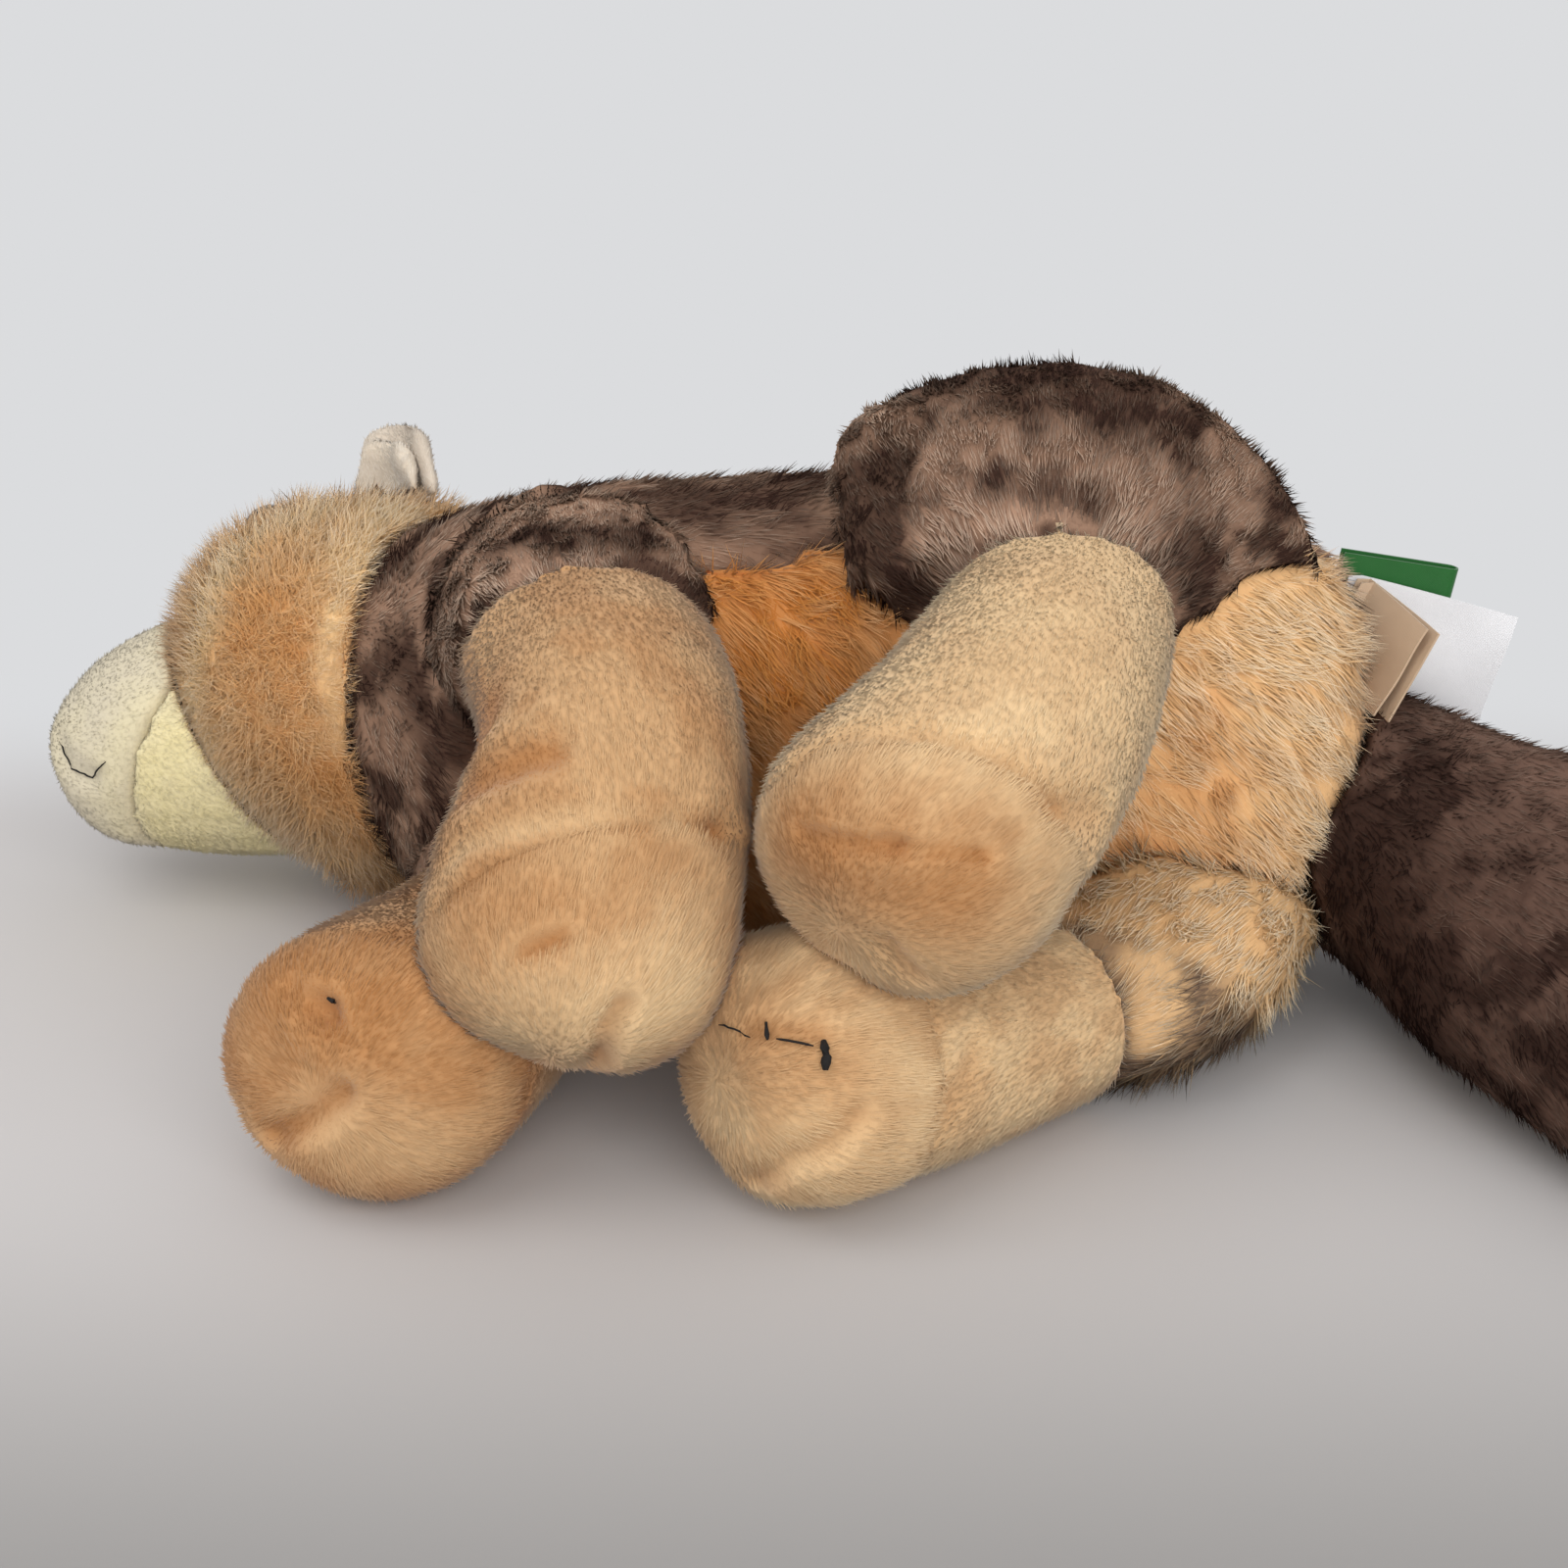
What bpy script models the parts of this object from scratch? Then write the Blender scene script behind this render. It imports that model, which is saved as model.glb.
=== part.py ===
"""A plush wolf, lying on its right side, as it comes to rest on a table.

The head points to -X, the tail to +X, the belly and the four paws to -Y, and the back to +Y.
Every stuffed section is a smooth form of elliptical girths along a spine. A form that is sewn
from two fabrics is parted along its seam, and a form that is sewn on to another is cut back
from it by the seam gap. The outside of each solid is the outside of the fur.

Metres, +Z up. The origin is on the flat that the trunk rests on.
"""

from dataclasses import dataclass
from math import cos, pi, radians, sin

import bmesh
import bpy
from mathutils import Matrix, Vector
from mathutils.bvhtree import BVHTree

MM = 0.001

# How the pieces meet
SEAM_GAP = 0.3 * MM
FLOOR_PRESS = 2.5 * MM
HIDDEN_ROOT = 8 * MM

# Trunk, from the neck to the rump: X stations, then the girths there
NECK_X = -77 * MM
CHEST_X = -54 * MM
WAIST_X = 2 * MM
HIP_X = 68 * MM
RUMP_X = 111 * MM
NECK_WIDE, NECK_TALL = 60 * MM, 98 * MM
CHEST_WIDE, CHEST_TALL = 98 * MM, 115 * MM
WAIST_WIDE, WAIST_TALL = 94 * MM, 119 * MM
HIP_WIDE, HIP_TALL = 104 * MM, 120 * MM
RUMP_WIDE, RUMP_TALL = 92 * MM, 104 * MM
RUMP_ROUND = 17 * MM
NECK_ROUND = 9 * MM
TRUNK_Y = 7 * MM
NECK_Y = 31 * MM
BELLY_SEAM_Y = -17 * MM
BELLY_SEAM_TURN = radians(10)

# Head, which lies on its right cheek and is rolled so that the chin dips
HEAD_X = -100 * MM
HEAD_Y = 42 * MM
HEAD_WIDE, HEAD_TALL = 98 * MM, 109 * MM
HEAD_BACK_X = -70 * MM
HEAD_BACK_Y = 33 * MM
HEAD_BACK_WIDE, HEAD_BACK_TALL = 88 * MM, 86 * MM
BROW_X = -119 * MM
BROW_Y = 46 * MM
BROW_WIDE, BROW_TALL = 82 * MM, 92 * MM
BROW_ROUND = 18 * MM
HEAD_ROLL = radians(25)
CROWN_SEAM_LIFT = 27 * MM

# Muzzle
MUZZLE_ROOT_X = -116 * MM
MUZZLE_MID_X = -146 * MM
MUZZLE_END_X = -161 * MM
MUZZLE_ROOT_WIDE, MUZZLE_ROOT_TALL = 62 * MM, 69 * MM
MUZZLE_MID_WIDE, MUZZLE_MID_TALL = 54 * MM, 61 * MM
MUZZLE_END_WIDE, MUZZLE_END_TALL = 43 * MM, 49 * MM
MUZZLE_ROUND = 18 * MM
MUZZLE_LIFT = 8 * MM
CHIN_SEAM_DROP = 11 * MM
CHIN_SEAM_TURN = radians(50)

# Eyes, nose and ears
EYE_ACROSS = 12 * MM
EYE_DEEP = 8 * MM
EYE_X = -127 * MM
EYE_SPREAD = radians(40)
NOSE_WIDE, NOSE_LONG, NOSE_DEEP = 21 * MM, 15 * MM, 13 * MM
NOSE_FORWARD = radians(58)
EAR_X = -93 * MM
EAR_TALL, EAR_WIDE = 31 * MM, 38 * MM
EAR_CUP = 9 * MM
EAR_CURL = 7 * MM
EAR_BACK_THICK = 3.4 * MM
EAR_LINING_THICK = 2.2 * MM
EAR_LINING_SHARE = 0.86
EAR_SPREAD = radians(28)
EAR_SINK = 10 * MM
EAR_TURN = radians(48)

# Legs: a furry top (shoulder or thigh), a short-pile leg and the sole panel at its end
SHOULDER_WIDE, SHOULDER_TALL = 80 * MM, 66 * MM
CUFF_WIDE, CUFF_TALL = 62 * MM, 53 * MM
SHOULDER_BEND_WIDE, SHOULDER_BEND_TALL = 74 * MM, 62 * MM
SHOULDER_ROUND = 9 * MM
THIGH_WIDE, THIGH_TALL = 124 * MM, 94 * MM
THIGH_BEND_WIDE, THIGH_BEND_TALL = 100 * MM, 82 * MM
THIGH_CUFF_WIDE, THIGH_CUFF_TALL = 70 * MM, 55 * MM
LEG_WIDE, LEG_TALL = 52 * MM, 46 * MM
KNEE_WIDE, KNEE_TALL = 59 * MM, 52 * MM
PAW_WIDE, PAW_TALL = 66 * MM, 61 * MM
LOW_SHOULDER_TALL = 62 * MM
LOW_THIGH_WIDE, LOW_THIGH_TALL = 74 * MM, 48 * MM
LOW_CUFF_TALL = 52 * MM
LOW_THIGH_CUFF_TALL = 44 * MM
LOW_LEG_WIDE, LOW_LEG_TALL = 47 * MM, 40 * MM
LOW_KNEE_WIDE, LOW_KNEE_TALL = 51 * MM, 44 * MM
LOW_PAW_TALL = 59 * MM
LEG_ROUND = 8 * MM
PAW_ROUND = 20 * MM
CREASE_LONG, CREASE_DEEP, CREASE_WIDE = 22 * MM, 8 * MM, 3.2 * MM
CREASE_OUT = radians(38)
TOE_SPREAD = radians(32)

# The left legs come out of the trunk's upper side, so they follow its height there
FRONT_LEFT_ROOT = Vector((-42 * MM, 2 * MM, CHEST_TALL - 32 * MM))
FRONT_LEFT_BEND = Vector((-42 * MM, -20 * MM, CHEST_TALL - 30 * MM))
FRONT_LEFT_CUFF = Vector((-39 * MM, -37 * MM, CHEST_TALL - 28 * MM))
FRONT_LEFT_KNEE = Vector((-33 * MM, -75 * MM, CHEST_TALL - 35 * MM))
FRONT_LEFT_PAW = Vector((-40, -105, 48)) * MM
FRONT_LEFT_TOES = radians(245)
FRONT_LEFT_SOLE_WAY = Vector((0.27, -0.79, -0.55))
FRONT_LEFT_SOLE_BACK = 11 * MM

FRONT_RIGHT_ROOT = Vector((-50, 2, 30)) * MM
FRONT_RIGHT_BEND = Vector((-53, -18, 28)) * MM
FRONT_RIGHT_CUFF = Vector((-57, -36, 25)) * MM
FRONT_RIGHT_KNEE = Vector((-66, -68, 24)) * MM
FRONT_RIGHT_PAW = Vector((-80, -103, 27)) * MM
FRONT_RIGHT_TOES = radians(180)
FRONT_RIGHT_SOLE_WAY = Vector((-0.35, -0.93, -0.1))
FRONT_RIGHT_SOLE_BACK = 10 * MM

HIND_LEFT_ROOT = Vector((62 * MM, 6 * MM, HIP_TALL - 27 * MM))
HIND_LEFT_BEND = Vector((57 * MM, -14 * MM, HIP_TALL - 25 * MM))
HIND_LEFT_CUFF = Vector((57 * MM, -32 * MM, HIP_TALL - 26 * MM))
HIND_LEFT_KNEE = Vector((43 * MM, -78 * MM, HIP_TALL - 34 * MM))
HIND_LEFT_PAW = Vector((19 * MM, -107 * MM, HIP_TALL - 50 * MM))
HIND_LEFT_TOES = radians(228)
HIND_LEFT_SOLE_WAY = Vector((-0.23, -0.90, -0.37))
HIND_LEFT_SOLE_BACK = 5 * MM

HIND_RIGHT_ROOT = Vector((76, 2, 26)) * MM
HIND_RIGHT_BEND = Vector((84, -36, 22)) * MM
HIND_RIGHT_CUFF = Vector((60, -61, 21)) * MM
HIND_RIGHT_KNEE = Vector((38, -79, 21)) * MM
HIND_RIGHT_PAW = Vector((1, -103, 27)) * MM
HIND_RIGHT_TOES = radians(165)
HIND_RIGHT_SOLE_WAY = Vector((-0.86, -0.5, 0.1))
HIND_RIGHT_SOLE_BACK = 18 * MM

# Tail
TAIL_ROOT_WIDE, TAIL_ROOT_TALL = 58 * MM, 58 * MM
TAIL_WIDE, TAIL_TALL = 75 * MM, 65 * MM
TAIL_TIP_WIDE, TAIL_TIP_TALL = 48 * MM, 46 * MM
TAIL_TIP_ROUND = 20 * MM
TAIL_ROOT = Vector((108, 14, 44)) * MM
TAIL_BEND = Vector((144, -21, 35)) * MM
TAIL_SIDE = Vector((163, -70, 32)) * MM
TAIL_END = Vector((177, -115, 21)) * MM

# Woven labels, sewn into the seam over the tail
LABEL_THICK = 0.6 * MM
LABEL_Y = 12 * MM
LABEL_Z = 79 * MM
LABEL_STEP = 2.4 * MM
LABEL_CURL_RADIUS = 170 * MM
ITEM_LABEL_LONG, ITEM_LABEL_WIDE = 36 * MM, 27 * MM
ITEM_LABEL_DROOP = radians(14)
RIBBON_LONG, RIBBON_WIDE = 23.5 * MM, 29 * MM
RIBBON_OPEN = 3.4 * MM
RIBBON_DROOP = radians(9)
CARE_FRONT_LONG, CARE_BACK_LONG = 24 * MM, 29 * MM
CARE_LABEL_WIDE = 23 * MM
CARE_LABEL_DROOP = radians(46)
CARE_LABEL_OUT = radians(66)

# Fineness of the forms
SIDES = 10
SPAN_RINGS = 2
DOME_TURNS = (radians(38), radians(68))
SMOOTHING = 1
LABEL_CELLS = 4
EAR_CELLS = 3
BUTTON_SIDES = 12
CREASE_SIDES = 8
TABLE_SPAN = 600 * MM

UP = Vector((0, 0, 1))
FORWARD = Vector((-1, 0, 0))
DORSAL = Vector((0, cos(HEAD_ROLL), sin(HEAD_ROLL)))
LEFT = Vector((0, -sin(HEAD_ROLL), cos(HEAD_ROLL)))


@dataclass(frozen=True)
class Finish:
    """A fabric or a plastic: its linear colour, how rough it is and how metallic."""

    name: str
    colour: tuple
    roughness: float
    metallic: float = 0.0


GREY_FUR = Finish("mottled_grey_fur", (0.115, 0.085, 0.072), 0.95)
ORANGE_FUR = Finish("long_orange_fur", (0.72, 0.37, 0.16), 0.95)
CREAM_FLEECE = Finish("cream_fleece", (0.83, 0.76, 0.49), 0.95)
WHITE_FLEECE = Finish("white_fleece", (0.72, 0.67, 0.62), 0.95)
BEIGE_PLUSH = Finish("short_beige_plush", (0.70, 0.44, 0.24), 0.9)
BLACK_PLASTIC = Finish("black_plastic", (0.012, 0.010, 0.010), 0.25)
WHITE_SATIN = Finish("white_satin", (0.86, 0.86, 0.88), 0.6)
GREEN_RIBBON = Finish("green_ribbon", (0.012, 0.21, 0.075), 0.5)
CREAM_SATIN = Finish("cream_satin", (0.80, 0.66, 0.52), 0.65)


@dataclass(frozen=True)
class Girth:
    """One section of a stuffed form: its middle, its width and its height there."""

    at: Vector
    wide: float
    tall: float


def lying(x, y, wide, tall):
    """A girth that lies on the table, pressed flat by the weight on it."""
    return Girth(Vector((x, y, tall / 2 - FLOOR_PRESS)), wide, tall)


def eased(before, start, end, after, share):
    """The value at a share of the way from start to end, on the smooth curve through all four."""
    slope = (end - before) * share
    bend = (2 * before - 5 * start + 4 * end - after) * share**2
    twist = (3 * start - before - 3 * end + after) * share**3
    return 0.5 * (2 * start + slope + bend + twist)


def filled(girths):
    """The girths with the smooth ones between them."""
    ends = [girths[0], *girths, girths[-1]]
    rings = []
    for index in range(len(girths) - 1):
        four = ends[index : index + 4]
        for step in range(SPAN_RINGS):
            share = step / SPAN_RINGS
            at = eased(*(girth.at for girth in four), share)
            wide = eased(*(girth.wide for girth in four), share)
            tall = eased(*(girth.tall for girth in four), share)
            rings.append(Girth(at, wide, tall))
    return [*rings, girths[-1]]


def dome(girth, outward, reach):
    """The shrinking girths that close an end, from the full girth outward."""
    return [
        Girth(girth.at + outward * reach * sin(turn), girth.wide * cos(turn), girth.tall * cos(turn))
        for turn in DOME_TURNS
    ]


def ring(mesh, girth, tangent):
    """The cage corners round one girth, as far out as the smoothing will draw them in."""
    side = UP.cross(tangent).normalized()
    top = tangent.cross(side).normalized()
    swell = 1 / cos(pi / SIDES)
    corners = []
    for corner in range(SIDES):
        turn = 2 * pi * corner / SIDES
        across = side * (cos(turn) * girth.wide / 2 * swell)
        upward = top * (sin(turn) * girth.tall / 2 * swell)
        corners.append(mesh.verts.new(girth.at + across + upward))
    return corners


def stuffed_cage(name, girths, start_reach, end_reach):
    """The cage of a stuffed form through the girths, with a dome at each end."""
    rings = filled(girths)
    tangents = []
    for index in range(len(rings)):
        behind = rings[max(index - 1, 0)].at
        ahead = rings[min(index + 1, len(rings) - 1)].at
        tangents.append((ahead - behind).normalized())
    start = list(reversed(dome(rings[0], -tangents[0], start_reach)))
    end = dome(rings[-1], tangents[-1], end_reach)
    rings = [*start, *rings, *end]
    tangents = [tangents[0]] * len(start) + tangents + [tangents[-1]] * len(end)

    mesh = bmesh.new()
    loops = [ring(mesh, girth, tangent) for girth, tangent in zip(rings, tangents)]
    for near, far in zip(loops, loops[1:]):
        for corner in range(SIDES):
            following = (corner + 1) % SIDES
            mesh.faces.new((near[corner], near[following], far[following], far[corner]))
    mesh.faces.new(list(reversed(loops[0])))
    mesh.faces.new(loops[-1])
    bmesh.ops.recalc_face_normals(mesh, faces=mesh.faces)
    data = bpy.data.meshes.new(name)
    mesh.to_mesh(data)
    mesh.free()
    return data


class Workshop:
    """The two collections, the finishes, and the making of pieces and cutters."""

    def __init__(self, name):
        for thing in list(bpy.data.objects):
            bpy.data.objects.remove(thing)
        self.pieces = self.collection(name)
        self.cutters = self.collection("cutters")
        self.finishes = {}

    @staticmethod
    def collection(name):
        made = bpy.data.collections.new(name)
        bpy.context.scene.collection.children.link(made)
        return made

    def material(self, finish):
        if finish.name not in self.finishes:
            made = bpy.data.materials.new(finish.name)
            made.use_nodes = True
            shader = made.node_tree.nodes["Principled BSDF"]
            shader.inputs["Base Color"].default_value = (*finish.colour, 1.0)
            shader.inputs["Roughness"].default_value = finish.roughness
            shader.inputs["Metallic"].default_value = finish.metallic
            made.diffuse_color = (*finish.colour, 1.0)
            self.finishes[finish.name] = made
        return self.finishes[finish.name]

    def piece(self, name, mesh, finish, smoothing=SMOOTHING):
        """A visible piece of the toy."""
        data = mesh.copy()
        data.name = name
        made = bpy.data.objects.new(name, data)
        self.pieces.objects.link(made)
        data.materials.append(self.material(finish))
        smooth(made, smoothing)
        return made

    def cutter(self, name, mesh, smoothing=0):
        """A hidden solid that others are cut by."""
        made = bpy.data.objects.new(name, mesh)
        self.cutters.objects.link(made)
        made.hide_render = True
        made.display_type = "WIRE"
        smooth(made, smoothing)
        return made

    def grown(self, name, mesh, smoothing=SMOOTHING):
        """A cutter that stands outside a form by the seam gap."""
        made = self.cutter(name + "_grown", mesh.copy(), smoothing)
        swell = made.modifiers.new("seam gap", "DISPLACE")
        swell.strength = SEAM_GAP
        swell.mid_level = 0
        return made

    def beyond(self, name, at, normal):
        """A cutter that takes everything past a plane, on the side its normal points to."""
        mesh = bmesh.new()
        bmesh.ops.create_cube(mesh, size=TABLE_SPAN)
        bmesh.ops.translate(mesh, verts=mesh.verts, vec=UP * TABLE_SPAN / 2)
        data = bpy.data.meshes.new(name)
        mesh.to_mesh(data)
        mesh.free()
        made = self.cutter(name, data)
        made.rotation_euler = UP.rotation_difference(normal).to_euler()
        made.location = at
        return made


def smooth(thing, levels):
    """Round an object's cage."""
    if levels:
        rounding = thing.modifiers.new("rounding", "SUBSURF")
        rounding.levels = levels
        rounding.render_levels = levels


def cut(thing, *cutters):
    """Take the cutters away from a piece."""
    for cutter in cutters:
        trim = thing.modifiers.new("cut by " + cutter.name, "BOOLEAN")
        trim.operation = "DIFFERENCE"
        trim.solver = "EXACT"
        trim.object = cutter


def skin_of(cage, smoothing=SMOOTHING):
    """A search tree of a cage's smooth surface."""
    thing = bpy.data.objects.new("skin", cage)
    bpy.context.scene.collection.objects.link(thing)
    smooth(thing, smoothing)
    graph = bpy.context.evaluated_depsgraph_get()
    tree = BVHTree.FromObject(thing, graph)
    bpy.data.objects.remove(thing)
    return tree


def skin_point(skin, inside, direction):
    """Where a line from inside a form comes out of it, and the outward normal there."""
    at, normal, _, _ = skin.ray_cast(inside, direction)
    return at, normal


def pebble(name, size, at, frame, sides=BUTTON_SIDES):
    """A rounded button form of the given sizes across, along and through."""
    mesh = bmesh.new()
    bmesh.ops.create_uvsphere(mesh, u_segments=sides, v_segments=sides * 2 // 3, radius=0.5)
    placed = Matrix.Translation(at) @ frame.to_4x4() @ Matrix.Diagonal((*size, 1))
    bmesh.ops.transform(mesh, matrix=placed, verts=mesh.verts)
    data = bpy.data.meshes.new(name)
    mesh.to_mesh(data)
    mesh.free()
    return data


def axes(across, along, through):
    """The turn whose three axes are the ones given."""
    return Matrix((across, along, through)).transposed()


class Head:
    """The head with its crown seam, the muzzle with its chin seam, the eyes, nose and ears."""

    def __init__(self, shop, neighbours, table):
        self.shop = shop
        self.table = table
        cage = stuffed_cage(
            "head",
            (
                lying(HEAD_BACK_X, HEAD_BACK_Y, HEAD_BACK_WIDE, HEAD_BACK_TALL),
                lying(HEAD_X, HEAD_Y, HEAD_WIDE, HEAD_TALL),
                lying(BROW_X, BROW_Y, BROW_WIDE, BROW_TALL),
            ),
            BROW_ROUND,
            BROW_ROUND,
        )
        self.cage = cage
        self.skin = skin_of(cage)
        self.middle = Vector((HEAD_X, HEAD_Y, HEAD_TALL / 2 - FLOOR_PRESS))
        self.grown = shop.grown("head", cage)
        seam = self.middle + DORSAL * CROWN_SEAM_LIFT
        face = shop.piece("face", cage, ORANGE_FUR)
        cut(face, table, shop.beyond("crown_side", seam, DORSAL), *neighbours)
        crown = shop.piece("crown", cage, GREY_FUR)
        cut(crown, shop.beyond("face_side", seam + DORSAL * SEAM_GAP, -DORSAL), *neighbours)
        self.muzzle()
        self.eyes()
        self.ear("left", 1)
        self.ear("right", -1)

    def muzzle(self):
        """The muzzle in two fabrics, and the nose on its end."""
        root = Vector((MUZZLE_ROOT_X, HEAD_Y, MUZZLE_ROOT_TALL / 2 + MUZZLE_LIFT))
        middle = Vector((MUZZLE_MID_X, HEAD_Y, MUZZLE_MID_TALL / 2 + MUZZLE_LIFT))
        end = Vector((MUZZLE_END_X, HEAD_Y, MUZZLE_END_TALL / 2 + MUZZLE_LIFT))
        girths = (
            Girth(root, MUZZLE_ROOT_WIDE, MUZZLE_ROOT_TALL),
            Girth(middle, MUZZLE_MID_WIDE, MUZZLE_MID_TALL),
            Girth(end, MUZZLE_END_WIDE, MUZZLE_END_TALL),
        )
        cage = stuffed_cage("muzzle", girths, BROW_ROUND, MUZZLE_ROUND)
        skin = skin_of(cage)
        self.muzzle_grown = self.shop.grown("muzzle", cage)
        normal = (DORSAL * cos(CHIN_SEAM_TURN) + FORWARD * sin(CHIN_SEAM_TURN)).normalized()
        seam = middle - DORSAL * CHIN_SEAM_DROP
        upper = self.shop.piece("muzzle_top", cage, WHITE_FLEECE)
        cut(upper, self.shop.beyond("chin_side", seam, -normal), self.grown)
        chin = self.shop.piece("muzzle_chin", cage, CREAM_FLEECE)
        cut(chin, self.shop.beyond("top_side", seam - normal * SEAM_GAP, normal), self.grown)
        ahead = (FORWARD * cos(NOSE_FORWARD) + DORSAL * sin(NOSE_FORWARD)).normalized()
        at, _ = skin_point(skin, end, ahead)
        frame = axes(LEFT, ahead.cross(LEFT), ahead)
        button = pebble("nose", (NOSE_WIDE, NOSE_LONG, NOSE_DEEP), at, frame)
        nose = self.shop.piece("nose", button, BLACK_PLASTIC, 0)
        cut(nose, self.muzzle_grown)

    def eyes(self):
        """Two plastic eyes, each on the brow beside the muzzle."""
        for name, side in (("left", 1), ("right", -1)):
            over = DORSAL * cos(EYE_SPREAD) + LEFT * side * sin(EYE_SPREAD)
            inside = Vector((EYE_X, BROW_Y, BROW_TALL / 2 - FLOOR_PRESS))
            at, normal = skin_point(self.skin, inside, over)
            across = normal.cross(FORWARD).normalized()
            frame = axes(across, normal.cross(across), normal)
            mesh = pebble("eye", (EYE_ACROSS, EYE_ACROSS, EYE_DEEP), at, frame)
            eye = self.shop.piece("eye_" + name, mesh, BLACK_PLASTIC, 0)
            cut(eye, self.grown, self.muzzle_grown)

    def ear(self, name, side):
        """One cupped ear: a fur back and a fleece lining, rooted in the head."""
        upward = (DORSAL * cos(EAR_SPREAD) + LEFT * side * sin(EAR_SPREAD)).normalized()
        outward = (LEFT * side * cos(EAR_SPREAD) - DORSAL * sin(EAR_SPREAD)).normalized()
        inner = (FORWARD * cos(EAR_TURN) + outward * sin(EAR_TURN)).normalized()
        across = upward.cross(inner).normalized()
        inside = Vector((EAR_X, self.middle.y, self.middle.z))
        surface, _ = skin_point(self.skin, inside, upward)
        root = surface - upward * EAR_SINK
        frame = axes(across, upward, inner)
        sheets = (
            ("_outer", 1.0, -SEAM_GAP / 2, EAR_BACK_THICK, -1, GREY_FUR),
            ("_lining", EAR_LINING_SHARE, SEAM_GAP / 2, EAR_LINING_THICK, 1, WHITE_FLEECE),
        )
        for part, share, shift, thick, way, finish in sheets:
            mesh = petal("ear", EAR_WIDE * share, EAR_TALL * share)
            mesh.transform(Matrix.Translation(root + inner * shift) @ frame.to_4x4())
            made = self.shop.piece("ear_" + name + part, mesh, finish, 0)
            shell = made.modifiers.new("thickness", "SOLIDIFY")
            shell.thickness = thick
            shell.offset = way
            shell.use_even_offset = True
            smooth(made, SMOOTHING)
            cut(made, self.grown)


def petal(name, wide, tall):
    """An ear's sheet in its own plane: rounded at the tip, cupped across and curled forward."""
    mesh = bmesh.new()
    bmesh.ops.create_grid(mesh, x_segments=EAR_CELLS, y_segments=EAR_CELLS, size=0.5)
    for corner in mesh.verts:
        across = corner.co.x * 2
        upward = corner.co.y + 0.5
        taper = cos(upward * pi / 2 * 0.82)
        corner.co.x = across * wide / 2 * taper**0.6
        corner.co.y = upward * tall * (1 - 0.12 * across**2)
        corner.co.z = EAR_CUP * across**2 * taper + EAR_CURL * upward**3
    data = bpy.data.meshes.new(name)
    mesh.to_mesh(data)
    mesh.free()
    return data


@dataclass(frozen=True)
class Leg:
    """One leg: where its spine runs, how its furry top and its paw are sized, where its toes are."""

    name: str
    root: Vector
    bend: Vector
    cuff: Vector
    knee: Vector
    paw: Vector
    top_name: str
    top_wide: float
    bend_wide: float
    top_tall: float
    bend_tall: float
    cuff_wide: float
    cuff_tall: float
    paw_tall: float
    toes: float
    sole_way: Vector
    sole_back: float
    rests_against: tuple
    leg_size: tuple = (LEG_WIDE, LEG_TALL)
    knee_size: tuple = (KNEE_WIDE, KNEE_TALL)

    def top_cage(self):
        """The furry shoulder or thigh, from inside the trunk to the cuff of the leg."""
        girths = (
            Girth(self.root, self.top_wide, self.top_tall),
            Girth(self.bend, self.bend_wide, self.bend_tall),
            Girth(self.cuff, self.cuff_wide, self.cuff_tall),
        )
        return stuffed_cage(self.name, girths, SHOULDER_ROUND, SHOULDER_ROUND)

    def leg_cage(self):
        """The short-pile leg, from inside the cuff to the end of the paw."""
        start = self.cuff.lerp(self.root, 0.3)
        girths = (
            Girth(start, *self.leg_size),
            Girth(self.cuff, *self.leg_size),
            Girth(self.knee, *self.knee_size),
            Girth(self.paw, PAW_WIDE, self.paw_tall),
        )
        return stuffed_cage(self.name, girths, LEG_ROUND, PAW_ROUND)

    def end_way(self):
        """The way the paw points."""
        return (self.paw - self.knee).normalized()

    def creases(self, cage):
        """The two pinched creases between the toes, as thin lens forms set in the sole."""
        way = self.end_way()
        side = UP.cross(way).normalized()
        top = way.cross(side)
        skin = skin_of(cage)
        lenses = []
        for turn in (self.toes - TOE_SPREAD, self.toes + TOE_SPREAD):
            toe = side * cos(turn) + top * sin(turn)
            ray = (way * cos(CREASE_OUT) + toe * sin(CREASE_OUT)).normalized()
            at, _ = skin_point(skin, self.paw, ray)
            thin = way.cross(toe).normalized()
            frame = axes(thin, ray.cross(thin), ray)
            size = (CREASE_WIDE, CREASE_LONG, CREASE_DEEP)
            lenses.append(pebble("crease", size, at, frame, CREASE_SIDES))
        return lenses


HIND_RIGHT = Leg(
    name="hind_right",
    root=HIND_RIGHT_ROOT,
    bend=HIND_RIGHT_BEND,
    cuff=HIND_RIGHT_CUFF,
    knee=HIND_RIGHT_KNEE,
    paw=HIND_RIGHT_PAW,
    top_name="thigh",
    top_wide=LOW_THIGH_WIDE,
    bend_wide=LOW_THIGH_WIDE,
    top_tall=LOW_THIGH_TALL,
    bend_tall=LOW_THIGH_TALL,
    cuff_wide=CUFF_WIDE,
    cuff_tall=LOW_THIGH_CUFF_TALL,
    paw_tall=LOW_PAW_TALL,
    toes=HIND_RIGHT_TOES,
    sole_way=HIND_RIGHT_SOLE_WAY,
    sole_back=HIND_RIGHT_SOLE_BACK,
    leg_size=(LOW_LEG_WIDE, LOW_LEG_TALL),
    knee_size=(LOW_KNEE_WIDE, LOW_KNEE_TALL),
    rests_against=("trunk",),
)
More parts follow.
